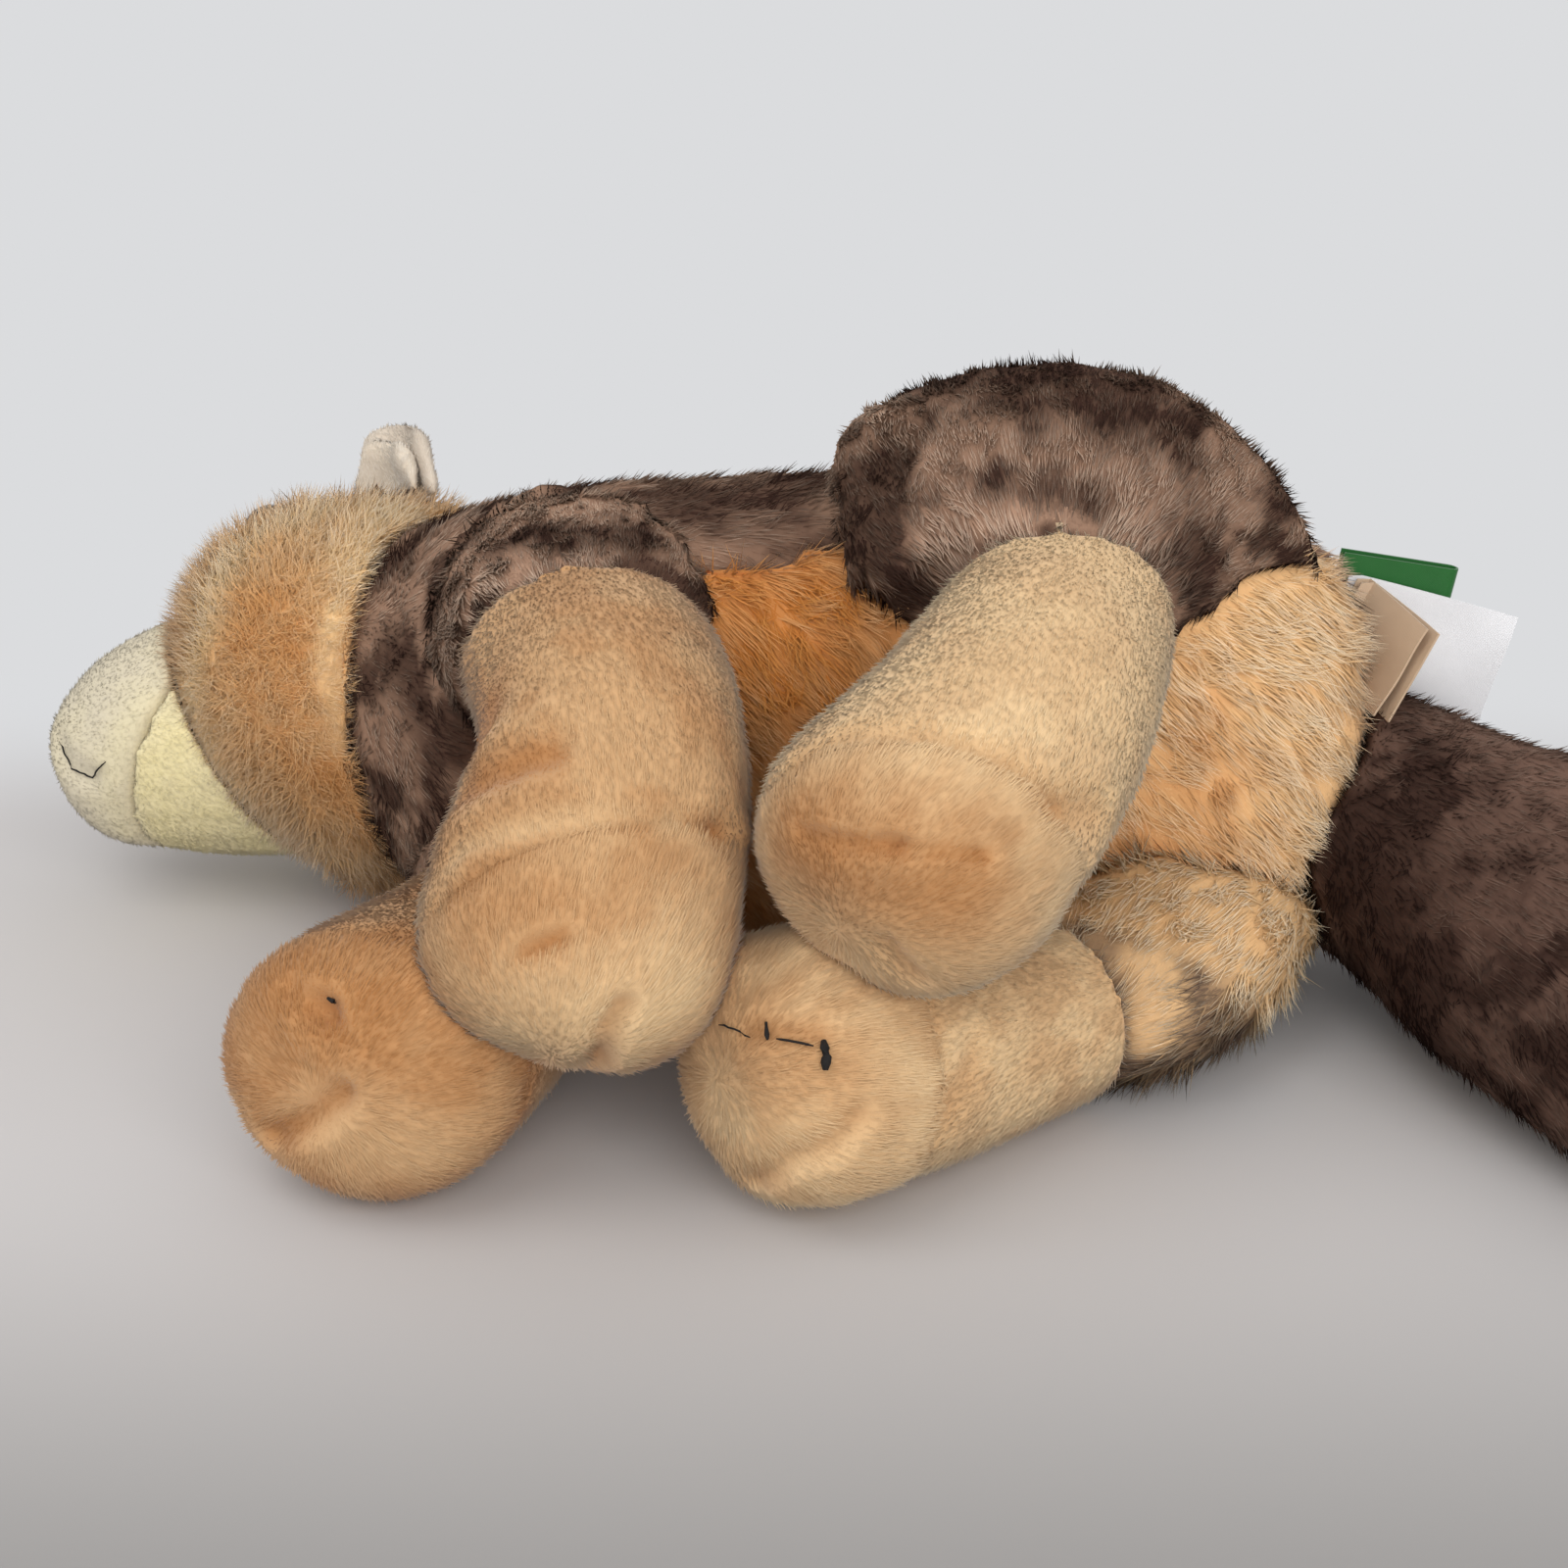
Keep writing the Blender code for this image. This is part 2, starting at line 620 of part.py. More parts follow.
FRONT_RIGHT = Leg(
    name="front_right",
    root=FRONT_RIGHT_ROOT,
    bend=FRONT_RIGHT_BEND,
    cuff=FRONT_RIGHT_CUFF,
    knee=FRONT_RIGHT_KNEE,
    paw=FRONT_RIGHT_PAW,
    top_name="shoulder",
    top_wide=SHOULDER_WIDE,
    bend_wide=CUFF_WIDE,
    top_tall=LOW_SHOULDER_TALL,
    bend_tall=LOW_SHOULDER_TALL,
    cuff_wide=CUFF_WIDE,
    cuff_tall=LOW_CUFF_TALL,
    paw_tall=LOW_PAW_TALL,
    toes=FRONT_RIGHT_TOES,
    sole_way=FRONT_RIGHT_SOLE_WAY,
    sole_back=FRONT_RIGHT_SOLE_BACK,
    rests_against=("trunk", "hind_right_leg"),
)
FRONT_LEFT = Leg(
    name="front_left",
    root=FRONT_LEFT_ROOT,
    bend=FRONT_LEFT_BEND,
    cuff=FRONT_LEFT_CUFF,
    knee=FRONT_LEFT_KNEE,
    paw=FRONT_LEFT_PAW,
    top_name="shoulder",
    top_wide=SHOULDER_WIDE,
    bend_wide=SHOULDER_BEND_WIDE,
    top_tall=SHOULDER_TALL,
    bend_tall=SHOULDER_BEND_TALL,
    cuff_wide=CUFF_WIDE,
    cuff_tall=CUFF_TALL,
    paw_tall=PAW_TALL,
    toes=FRONT_LEFT_TOES,
    sole_way=FRONT_LEFT_SOLE_WAY,
    sole_back=FRONT_LEFT_SOLE_BACK,
    rests_against=("trunk", "front_right_top", "front_right_leg", "hind_right_leg"),
)
HIND_LEFT = Leg(
    name="hind_left",
    root=HIND_LEFT_ROOT,
    bend=HIND_LEFT_BEND,
    cuff=HIND_LEFT_CUFF,
    knee=HIND_LEFT_KNEE,
    paw=HIND_LEFT_PAW,
    top_name="thigh",
    top_wide=THIGH_WIDE,
    bend_wide=THIGH_BEND_WIDE,
    top_tall=THIGH_TALL,
    bend_tall=THIGH_BEND_TALL,
    cuff_wide=THIGH_CUFF_WIDE,
    cuff_tall=THIGH_CUFF_TALL,
    paw_tall=PAW_TALL,
    toes=HIND_LEFT_TOES,
    sole_way=HIND_LEFT_SOLE_WAY,
    sole_back=HIND_LEFT_SOLE_BACK,
    rests_against=(
        "trunk",
        "hind_right_top",
        "hind_right_leg",
        "front_left_top",
        "front_left_leg",
    ),
)
LEGS = (HIND_RIGHT, FRONT_RIGHT, FRONT_LEFT, HIND_LEFT)
TAIL_MEETS = ("trunk", "hind_right_top")
HEAD_MEETS = ("trunk", "front_right_top", "front_right_leg", "front_left_top")


def sheet_mesh(name, path, width_way, wide):
    """A flat strip whose length follows the path, wide across it."""
    mesh = bmesh.new()
    rows = []
    for at in path:
        rows.append([mesh.verts.new(at + width_way * wide / 2 * side) for side in (-1, 0, 1)])
    for near, far in zip(rows, rows[1:]):
        for cell in range(2):
            mesh.faces.new((near[cell], far[cell], far[cell + 1], near[cell + 1]))
    data = bpy.data.meshes.new(name)
    mesh.to_mesh(data)
    mesh.free()
    return data


class Labels:
    """The ribbon loop, the item label and the two care labels, all sewn into one seam."""

    def __init__(self, shop, trunk_skin, neighbours):
        self.shop = shop
        self.neighbours = neighbours
        inside = Vector((HIP_X, LABEL_Y, LABEL_Z))
        self.seam, _ = skin_point(trunk_skin, inside, -FORWARD)
        self.loop()
        self.strip("item_label", 0, ITEM_LABEL_LONG, ITEM_LABEL_WIDE, ITEM_LABEL_DROOP, 0, WHITE_SATIN)
        turned = (CARE_LABEL_WIDE, CARE_LABEL_DROOP, CARE_LABEL_OUT, CREAM_SATIN)
        self.strip("care_label_back", -1, CARE_BACK_LONG, *turned)
        self.strip("care_label_front", -2, CARE_FRONT_LONG, *turned)

    def add(self, name, path, width_way, wide, finish):
        """Make a strip into a thin solid, cut back from the trunk and the tail."""
        made = self.shop.piece(name, sheet_mesh(name, path, width_way, wide), finish, 0)
        shell = made.modifiers.new("thickness", "SOLIDIFY")
        shell.thickness = LABEL_THICK
        shell.offset = 0
        shell.use_even_offset = True
        cut(made, *self.neighbours)

    def strip(self, name, layer, long, wide, droop, out, finish):
        """One label that hangs from the seam and curls a little towards the paws."""
        way = Vector((cos(droop) * cos(out), -sin(out), -sin(droop) * cos(out))).normalized()
        face = Vector((0, -1, 0))
        width_way = face.cross(way).normalized()
        normal = way.cross(width_way)
        start = self.seam + Vector((0, LABEL_STEP * layer, 0))
        path = [start + FORWARD * HIDDEN_ROOT]
        for step in range(LABEL_CELLS + 1):
            reach = long * step / LABEL_CELLS
            path.append(start + way * reach + normal * reach**2 / (2 * LABEL_CURL_RADIUS))
        self.add(name, path, width_way, wide, finish)

    def loop(self):
        """The ribbon, folded back on itself and sewn in by both ends."""
        way = Vector((cos(RIBBON_DROOP), 0, -sin(RIBBON_DROOP)))
        width_way = Vector((0, -1, 0)).cross(way).normalized()
        away = Vector((0, 1, 0))
        half = RIBBON_OPEN / 2
        middle = self.seam + away * (LABEL_STEP + half)
        straight = RIBBON_LONG + HIDDEN_ROOT - half
        near = [
            middle - away * half + way * (straight * step / LABEL_CELLS - HIDDEN_ROOT)
            for step in range(LABEL_CELLS + 1)
        ]
        bend = near[-1] + away * half
        turn = []
        for step in range(1, LABEL_CELLS):
            angle = pi * step / LABEL_CELLS
            turn.append(bend - away * half * cos(angle) + way * half * sin(angle))
        far = [point + away * RIBBON_OPEN for point in reversed(near)]
        self.add("ribbon_loop", [*near, *turn, *far], width_way, RIBBON_WIDE, GREEN_RIBBON)


def trunk_cage():
    """The trunk from the neck to the rump."""
    girths = (
        lying(NECK_X, NECK_Y, NECK_WIDE, NECK_TALL),
        lying(CHEST_X, TRUNK_Y, CHEST_WIDE, CHEST_TALL),
        lying(WAIST_X, TRUNK_Y, WAIST_WIDE, WAIST_TALL),
        lying(HIP_X, TRUNK_Y, HIP_WIDE, HIP_TALL),
        lying(RUMP_X, TRUNK_Y, RUMP_WIDE, RUMP_TALL),
    )
    return stuffed_cage("trunk", girths, NECK_ROUND, RUMP_ROUND)


def tail_cage():
    """The tail, which leaves the rump to the right and turns towards the paws."""
    girths = (
        Girth(TAIL_ROOT, TAIL_ROOT_WIDE, TAIL_ROOT_TALL),
        Girth(TAIL_BEND, TAIL_WIDE, TAIL_TALL),
        Girth(TAIL_SIDE, TAIL_WIDE, TAIL_TALL),
        Girth(TAIL_END, TAIL_TIP_WIDE, TAIL_TIP_TALL),
    )
    return stuffed_cage("tail", girths, LEG_ROUND, TAIL_TIP_ROUND)


def build():
    """Make the whole toy."""
    shop = Workshop("plush_wolf")
    table = shop.beyond("table", Vector((0, 0, 0)), -UP)

    trunk = trunk_cage()
    trunk_grown = shop.grown("trunk", trunk)
    seam = Vector((0, BELLY_SEAM_Y, 0))
    back_way = Vector((-sin(BELLY_SEAM_TURN), cos(BELLY_SEAM_TURN), 0))
    torso = shop.piece("torso", trunk, GREY_FUR)
    cut(torso, table, shop.beyond("belly_side", seam, -back_way))
    belly = shop.piece("belly_panel", trunk, ORANGE_FUR)
    cut(belly, table, shop.beyond("back_side", seam - back_way * SEAM_GAP, back_way))

    made = {"trunk": trunk_grown}
    for leg in LEGS:
        neighbours = [made[name] for name in leg.rests_against]
        top = leg.top_cage()
        made[leg.name + "_top"] = shop.grown(leg.name + "_top", top)
        fur = shop.piece(leg.name + "_" + leg.top_name, top, GREY_FUR)
        cut(fur, table, *neighbours)
        lower = leg.leg_cage()
        way = leg.sole_way.normalized()
        ankle = leg.paw - way * leg.sole_back
        shin = shop.piece(leg.name + "_leg", lower, BEIGE_PLUSH)
        sole_side = shop.beyond(leg.name + "_sole_side", ankle, way)
        cut(shin, table, sole_side, made[leg.name + "_top"], *neighbours)
        sole = shop.piece(leg.name + "_sole", lower, BEIGE_PLUSH)
        leg_side = shop.beyond(leg.name + "_leg_side", ankle + way * SEAM_GAP, -way)
        cut(sole, table, leg_side, *neighbours)
        cut(sole, *(shop.cutter(leg.name + "_crease", lens) for lens in leg.creases(lower)))
        made[leg.name + "_leg"] = shop.grown(leg.name + "_leg", lower)

    tail_form = tail_cage()
    tail = shop.piece("tail", tail_form, GREY_FUR)
    cut(tail, table, *(made[name] for name in TAIL_MEETS))
    Head(shop, [made[name] for name in HEAD_MEETS], table)
    Labels(shop, skin_of(trunk), [made["trunk"], shop.grown("tail", tail_form)])


build()
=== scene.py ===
"""A plush wolf lying on its right side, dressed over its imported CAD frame.

Every stuffed section of the CAD model is replaced by its sewn skin, and a Geometry Nodes tree
grows that section's pile on the skin. The eyes and the nose keep their CAD shape. The labels,
the ribbon and the threads are modelled on the places that the CAD gives them.

Metres, +Z up, head to -X, paws to -Y, as in the CAD.
"""

import logging
from dataclasses import dataclass, field
from enum import Enum
from functools import cache
from math import cos, pi, radians, sin

import bmesh
import bpy
import numpy as np
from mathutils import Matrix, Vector, noise
from mathutils.bvhtree import BVHTree


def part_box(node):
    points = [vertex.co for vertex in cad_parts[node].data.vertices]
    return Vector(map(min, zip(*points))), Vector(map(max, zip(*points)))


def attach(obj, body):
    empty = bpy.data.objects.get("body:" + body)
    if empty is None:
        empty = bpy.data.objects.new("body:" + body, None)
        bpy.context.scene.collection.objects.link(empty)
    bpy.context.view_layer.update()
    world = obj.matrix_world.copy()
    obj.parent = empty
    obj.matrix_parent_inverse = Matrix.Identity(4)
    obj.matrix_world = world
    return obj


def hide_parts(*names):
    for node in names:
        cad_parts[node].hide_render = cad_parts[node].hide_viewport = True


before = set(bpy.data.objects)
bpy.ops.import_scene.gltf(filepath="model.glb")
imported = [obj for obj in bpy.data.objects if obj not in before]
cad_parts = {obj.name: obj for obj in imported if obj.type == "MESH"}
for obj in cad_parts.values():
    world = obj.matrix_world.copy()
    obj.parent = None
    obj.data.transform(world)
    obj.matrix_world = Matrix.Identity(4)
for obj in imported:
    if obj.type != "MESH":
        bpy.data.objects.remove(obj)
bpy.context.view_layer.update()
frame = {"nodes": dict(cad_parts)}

MM = 0.001
BODY = "root"
PATTERN_MAP = "OFBake"
LUMP_GRAIN = 24 * MM
DEPTH_THAT_PARTS = 3 * MM
# Creases are darkened with their depth, up to a limit: painted shade in the folds.
PAINTED_SHADE_DEPTH = 9 * MM
DEEPEST_PAINTED_SHADE = 4 * MM
LOST_WHERE_PARTED = 0.45
SHORTEST_IN_CREASE = 0.4
LEAST_OPEN = 0.03
SHORTEST_STRAND, STRAND_SPREAD = 0.8, 0.35
MAP_EDGE = 0.02
STRAND_ON_MAP = 0.012
FRACTAL_FALL, FRACTAL_STEP = 0.8, 2.1
TABLE_CLEAR = 0.25 * MM
VIEW_RISE = radians(22)
SEEN_FROM = Vector((0, -cos(VIEW_RISE), sin(VIEW_RISE)))
LOG = logging.getLogger("plush_wolf")


def mm(x: float, y: float, z: float) -> Vector:
    """A point or a length given in millimetres."""
    return Vector((x, y, z)) * MM


def line(*corners: tuple[float, float, float]) -> tuple[Vector, ...]:
    """A line through corners, or a spot on one, given in millimetres."""
    return tuple(mm(*corner) for corner in corners)


def linear(colour: str) -> tuple[float, float, float, float]:
    """Turn an sRGB hex colour into Blender's linear one.

    Args:
        colour: The colour as "#RRGGBB".

    Returns:
        Red, green, blue and a full alpha.
    """
    shares = [int(colour[start : start + 2], 16) / 255 for start in (1, 3, 5)]
    return (*(s / 12.92 if s <= 0.04045 else ((s + 0.055) / 1.055) ** 2.4 for s in shares), 1.0)


def feed(tree: bpy.types.NodeTree, node: bpy.types.Node, links: dict) -> None:
    """Give a node its inputs.

    Args:
        tree: The node's tree.
        node: The node.
        links: For each input, by name or number, what feeds it: a node, which gives its first
            live output, a socket or a plain value.
    """
    for name, value in links.items():
        if isinstance(value, bpy.types.Node):
            value = next(socket for socket in value.outputs if socket.enabled)
        if isinstance(value, bpy.types.NodeSocket):
            tree.links.new(value, node.inputs[name])
        else:
            node.inputs[name].default_value = value


def add(tree: bpy.types.NodeTree, kind: str, links: dict, **settings: object) -> bpy.types.Node:
    """Add one node to a tree.

    Args:
        tree: The tree that gets the node.
        kind: Blender's name for the node.
        links: What feeds its inputs, as feed takes it.
        settings: The node's own settings.

    Returns:
        The node.
    """
    made = tree.nodes.new(kind)
    for name, value in settings.items():
        setattr(made, name, value)
    feed(tree, made, links)
    return made


def blank(name: str, **values: object) -> tuple[bpy.types.Material, bpy.types.Node]:
    """Start a material.

    Args:
        name: The finish's name.
        values: Constants for the shader's own sockets, with _ for each space in their names.

    Returns:
        The material and its Principled shader.
    """
    material = bpy.data.materials.new(name)
    material.use_nodes = True
    shader = material.node_tree.nodes["Principled BSDF"]
    for socket, value in values.items():
        shader.inputs[socket.replace("_", " ")].default_value = value
    return material, shader


def placed(name: str, data: bpy.types.ID) -> bpy.types.Object:
    """Put a mesh, a light or a camera into the scene as an object."""
    made = bpy.data.objects.new(name, data)
    bpy.context.scene.collection.objects.link(made)
    return made


def finished(work: bmesh.types.BMesh, name: str) -> bpy.types.Mesh:
    """Turn a finished working mesh into a mesh with a name."""
    mesh = bpy.data.meshes.new(name)
    work.to_mesh(mesh)
    work.free()
    return mesh


def plain_mesh(thing: bpy.types.Object) -> None:
    """Put an object's evaluated mesh in place of its own, and take its modifiers off."""
    graph = bpy.context.evaluated_depsgraph_get()
    mesh = bpy.data.meshes.new_from_object(thing.evaluated_get(graph))
    thing.modifiers.clear()
    thing.data = mesh


# Finishes


@dataclass(frozen=True)
class FurFinish:
    """A dyed fur fabric: polyester pile on a knitted backing.

    Its fibres go from one colour at the root to another at the tip, in a dark and a light
    shade of the dye, and each tuft takes a share of the two.
    """

    name: str
    slot: str
    dark_root: str
    dark_tip: str
    light_root: str
    light_tip: str
    tip_from: float = 0.25
    tip_full: float = 0.9
    sheen: float = 0.15
    gloss: float = 0.15
    tuft: float = 2.4 * MM
    tuft_share: float = 0.18
    nap: float = 0.9 * MM
    nap_high: float = 0.3 * MM

    @cache
    def pile(self) -> bpy.types.Material:
        """The fibres. Crimped polyester scatters light softly and has a faint silky sheen.

        Returns:
            The material, which reads the shade and the height up the fibre from the fur's map.
        """
        material, shader = blank(
            self.name + "_pile", Roughness=0.9, Sheen_Weight=self.sheen, Sheen_Roughness=0.45,
            Specular_IOR_Level=self.gloss,
        )
        tree = material.node_tree
        place = add(tree, "ShaderNodeUVMap", {}, uv_map=PATTERN_MAP)
        across, up, _ = add(tree, "ShaderNodeSeparateXYZ", {0: place}).outputs
        rise = add(
            tree, "ShaderNodeMapRange", {0: up, 1: self.tip_from, 2: self.tip_full},
            interpolation_type="SMOOTHSTEP",
        )
        dark, light = (
            add(tree, "ShaderNodeMix", {0: rise, 6: linear(root), 7: linear(tip)}, data_type="RGBA")
            for root, tip in ((self.dark_root, self.dark_tip), (self.light_root, self.light_tip))
        )
        colour = add(tree, "ShaderNodeMix", {0: across, 6: dark, 7: light}, data_type="RGBA")
        feed(tree, shader, {"Base Color": colour})
        return material

    @cache
    def backing(self) -> bpy.types.Material:
        """The knitted backing with the pile's roots on it, seen between the fibres.

        Returns:
            The material, mottled by the skin's own shade and bumped at the tufts' pitch.
        """
        material, shader = blank(
            self.name + "_backing", Roughness=0.95, Sheen_Weight=self.sheen, Sheen_Roughness=0.5,
            Specular_IOR_Level=self.gloss,
        )
        tree = material.node_tree
        shade = add(tree, "ShaderNodeAttribute", {}, attribute_name="shade").outputs["Fac"]
        place = add(tree, "ShaderNodeTexCoord", {}).outputs["Object"]
        tufts = add(
            tree, "ShaderNodeTexNoise", {"Vector": place, "Scale": 1 / self.tuft, "Detail": 3.0}
        )
        mixed = add(tree, "ShaderNodeMix", {0: self.tuft_share, 2: shade, 3: tufts}, data_type="FLOAT")
        ends = {6: linear(self.dark_root), 7: linear(self.light_root)}
        colour = add(tree, "ShaderNodeMix", {0: mixed, **ends}, data_type="RGBA")
        nap = add(tree, "ShaderNodeTexNoise", {"Vector": place, "Scale": 1 / self.nap, "Detail": 2.0})
        bump = add(
            tree, "ShaderNodeBump", {"Strength": 0.3, "Distance": self.nap_high, "Height": nap}
        )
        feed(tree, shader, {"Base Color": colour, "Normal": bump})
        return material


@dataclass(frozen=True)
class SatinFinish:
    """Woven satin tape: floats of bright yarn, close and even, with heat-cut edges.

    Real yarns lie about 0.1 mm apart, which is too fine to show, so they are drawn coarser.
    """

    name: str
    slot: str
    colour: str
    # The colour of the stains, and of the painted shade between the yarns.
    stain_and_shade: str
    yarn: float = 0.45 * MM
    yarn_high: float = 0.08 * MM
    stain: float = 7 * MM
    stain_share: float = 0.35

    @cache
    def cloth(self) -> bpy.types.Material:
        """The tape. The weave shows as fine ribs that catch the light, with painted shade between the
        yarns.

        Returns:
            The material, whose yarns follow the tape's own map in metres.
        """
        material, shader = blank(
            self.name, Roughness=0.5, Sheen_Weight=0.3, Sheen_Roughness=0.3, Specular_IOR_Level=0.4
        )
        tree = material.node_tree
        place = add(tree, "ShaderNodeUVMap", {}, uv_map="Tape")
        parts = add(tree, "ShaderNodeSeparateXYZ", {0: place}).outputs
        ribs = [
            add(tree, "ShaderNodeMath", {0: way, 1: 2 * pi / self.yarn}, operation="MULTIPLY")
            for way in parts[:2]
        ]
        warp, weft = (add(tree, "ShaderNodeMath", {0: rib}, operation="SINE") for rib in ribs)
        weave = add(tree, "ShaderNodeMath", {0: warp, 1: weft}, operation="MULTIPLY")
        # Painted shade: the colour darkens between the yarns at the weave's pitch.
        share = add(tree, "ShaderNodeMapRange", {0: weave, 1: -1.0, 2: 1.0, 3: 0.0, 4: 0.3})
        stain = add(
            tree, "ShaderNodeTexNoise", {"Vector": place, "Scale": 1 / self.stain, "Detail": 2.0}
        )
        amount = add(
            tree, "ShaderNodeMath", {0: stain, 1: self.stain_share, 2: share}, operation="MULTIPLY_ADD"
        )
        ends = {6: linear(self.colour), 7: linear(self.stain_and_shade)}
        colour = add(tree, "ShaderNodeMix", {0: amount, **ends}, data_type="RGBA")
        bump = add(
            tree, "ShaderNodeBump", {"Strength": 0.35, "Distance": self.yarn_high, "Height": weave}
        )
        feed(tree, shader, {"Base Color": colour, "Normal": bump})
        return material


@dataclass(frozen=True)
class ThreadFinish:
    """Spun polyester sewing thread."""

    name: str
    colour: str
    shade: str
    twist: float = 0.5 * MM
    ply_high: float = 0.1 * MM

    @cache
    def thread(self) -> bpy.types.Material:
        """The thread. Its twist shows as a fine change of shade along it.

        Returns:
            The material.
        """
        material, shader = blank(self.name, Roughness=0.9)
        tree = material.node_tree
        place = add(tree, "ShaderNodeTexCoord", {}).outputs["Object"]
        twist = add(
            tree, "ShaderNodeTexNoise", {"Vector": place, "Scale": 1 / self.twist, "Detail": 1.0}
        )
        ends = {6: linear(self.colour), 7: linear(self.shade)}
        colour = add(tree, "ShaderNodeMix", {0: twist, **ends}, data_type="RGBA")
        bump = add(
            tree, "ShaderNodeBump", {"Strength": 0.5, "Distance": self.ply_high, "Height": twist}
        )
        feed(tree, shader, {"Base Color": colour, "Normal": bump})
        return material


@dataclass(frozen=True)
class GlossFinish:
    """Injection-moulded ABS, dyed through and polished in the mould."""

    name: str
    colour: str
    dust: str
    haze: float = 2 * MM

    @cache
    def plastic(self) -> bpy.types.Material:
        """The plastic: a smooth gloss with fine handling haze and lint in it.

        Returns:
            The material.
        """
        material, shader = blank(self.name, IOR=1.53, Coat_Weight=0.3, Coat_Roughness=0.08)
        tree = material.node_tree
        place = add(tree, "ShaderNodeTexCoord", {}).outputs["Object"]
        haze = add(
            tree, "ShaderNodeTexNoise", {"Vector": place, "Scale": 1 / self.haze, "Detail": 4.0}
        )
        rough = add(tree, "ShaderNodeMapRange", {0: haze, 1: 0.3, 2: 0.8, 3: 0.12, 4: 0.3})
        share = add(tree, "ShaderNodeMapRange", {0: haze, 1: 0.5, 2: 0.9, 3: 0.0, 4: 0.5})
        ends = {6: linear(self.colour), 7: linear(self.dust)}
        colour = add(tree, "ShaderNodeMix", {0: share, **ends}, data_type="RGBA")
        feed(tree, shader, {"Base Color": colour, "Roughness": rough})
        return material


GREY_FUR = FurFinish(
    "mottled_grey_plush", "mottled_grey_fur", "#38251F", "#281915", "#AA8871", "#D2B7A1",
    sheen=0.0, gloss=0.04,
)
TAIL_FUR = FurFinish(
    "dark_tail_plush", "mottled_grey_fur", "#291A16", "#180F0D", "#85685A", "#9C8374",
    sheen=0.0, gloss=0.04,
)
FACE_FUR = FurFinish(
    "orange_face_plush", "long_orange_fur", "#D8985A", "#E6AE6E", "#F0CD9A", "#FAEBD0",
    tip_from=0.4, tip_full=0.95, sheen=0.1, gloss=0.08,
)
RUMP_FUR = FurFinish(
    "rump_plush", "mottled_grey_fur", "#5E4C43", "#463730", "#EDC28E", "#F8E6C8",
    sheen=0.0, gloss=0.04,
)
BELLY_FUR = FurFinish(
    "orange_belly_plush", "long_orange_fur", "#C07838", "#D8964E", "#EEC38E", "#F8E6C8",
    tip_from=0.35, tip_full=0.95, sheen=0.1, gloss=0.08,
)
LEG_PLUSH = FurFinish(
    "short_beige_plush", "short_beige_plush", "#AA7342", "#B07A47", "#E4C497", "#EBD1A8",
)
WHITE_FLEECE = FurFinish(
    "white_fleece", "white_fleece", "#CEC4AE", "#DAD0BC", "#E2D6AA", "#EDE2BA", sheen=0.1
)
CREAM_FLEECE = FurFinish(
    "cream_fleece", "cream_fleece", "#D2C8B2", "#DDD4C0", "#E8DAA6", "#F2E7BC", sheen=0.1
)
EAR_FLEECE = FurFinish(
    "ear_fleece", "white_fleece", "#CDBCA6", "#E0D2BE", "#E4D7C5", "#F4ECE0", sheen=0.1
)
EAR_FUR = FurFinish(
    "ear_plush", "mottled_grey_fur", "#5A463B", "#43312A", "#E0D2C0", "#EFE6D8", sheen=0.1
)
WHITE_SATIN = SatinFinish("white_satin", "white_satin", "#EFEFF1", "#D2D2D5")
GREEN_RIBBON = SatinFinish("green_ribbon", "green_ribbon", "#1B6B26", "#0C3E14")
CREAM_SATIN = SatinFinish("cream_satin", "cream_satin", "#D2B89B", "#B0947A")
DARK_THREAD = ThreadFinish("dark_thread", "#0B0908", "#1A1513")
BLACK_PLASTIC = GlossFinish("black_abs", "#141213", "#3A3634")


# Piles


@dataclass(frozen=True)
class Pile:
    """How a fabric's pile stands: the size of a strand, and how strands lie together.

    One strand stands for several fibres, because a fibre of 0.03 mm can't show.
    """

    name: str
    long: float
    wide: float
    bend: float
    inset: float
    lift: float
    scatter: float
    lock: float
    gather: float
    lean: float
    fleck: float
    lock_shade: float
    softness: float

    def template(self) -> bpy.types.Object:
        """One strand, its root at the origin, standing on Z and bent towards +X.

        Returns:
            An object whose mesh carries how far along and across the strand each corner is.
        """
        half = self.wide / 2
        corners = [(half * cos(t), half * sin(t), 0.0) for t in (0.0, 2 * pi / 3, 4 * pi / 3)]
        corners.append((self.bend, 0.0, self.long))
        mesh = bpy.data.meshes.new(self.name + "_strand")
        mesh.from_pydata(corners, [], [(0, 2, 1), (0, 1, 3), (1, 2, 3), (2, 0, 3)])
        for name, values in (("along", [0.0, 0.05, 0.02, 1.0]), ("across", [-1.0, 1.0, 0.0, 0.0])):
            mesh.attributes.new(name, "FLOAT", "POINT").data.foreach_set("value", values)
        mesh.shade_smooth()
        return placed(mesh.name, mesh)


DARK_PILE = Pile(
    "dark_pile", long=3.9 * MM, wide=0.44 * MM, bend=1.5 * MM, inset=2.6 * MM,
    lift=0.6, scatter=0.24, lock=5 * MM, gather=0.35, lean=0.7, fleck=0.12, lock_shade=0.25,
    softness=0.86,
)
FACE_PILE = Pile(
    "face_pile", long=7.0 * MM, wide=0.38 * MM, bend=2.2 * MM, inset=4.0 * MM,
    lift=0.8, scatter=0.7, lock=6 * MM, gather=0.35, lean=0.5, fleck=0.08, lock_shade=0.2,
    softness=0.94,
)
BELLY_PILE = Pile(
    "belly_pile", long=7.6 * MM, wide=0.46 * MM, bend=3.0 * MM,
    inset=4.2 * MM, lift=0.6, scatter=0.35, lock=6 * MM, gather=0.5, lean=0.8, fleck=0.08,
    lock_shade=0.34, softness=0.92,
)
SHORT_PILE = Pile(
    "short_pile", long=2.3 * MM, wide=0.34 * MM, bend=0.7 * MM,
    inset=1.5 * MM, lift=0.7, scatter=0.3, lock=3 * MM, gather=0.05, lean=0.1,
    fleck=0.08, lock_shade=0.03, softness=0.92,
)
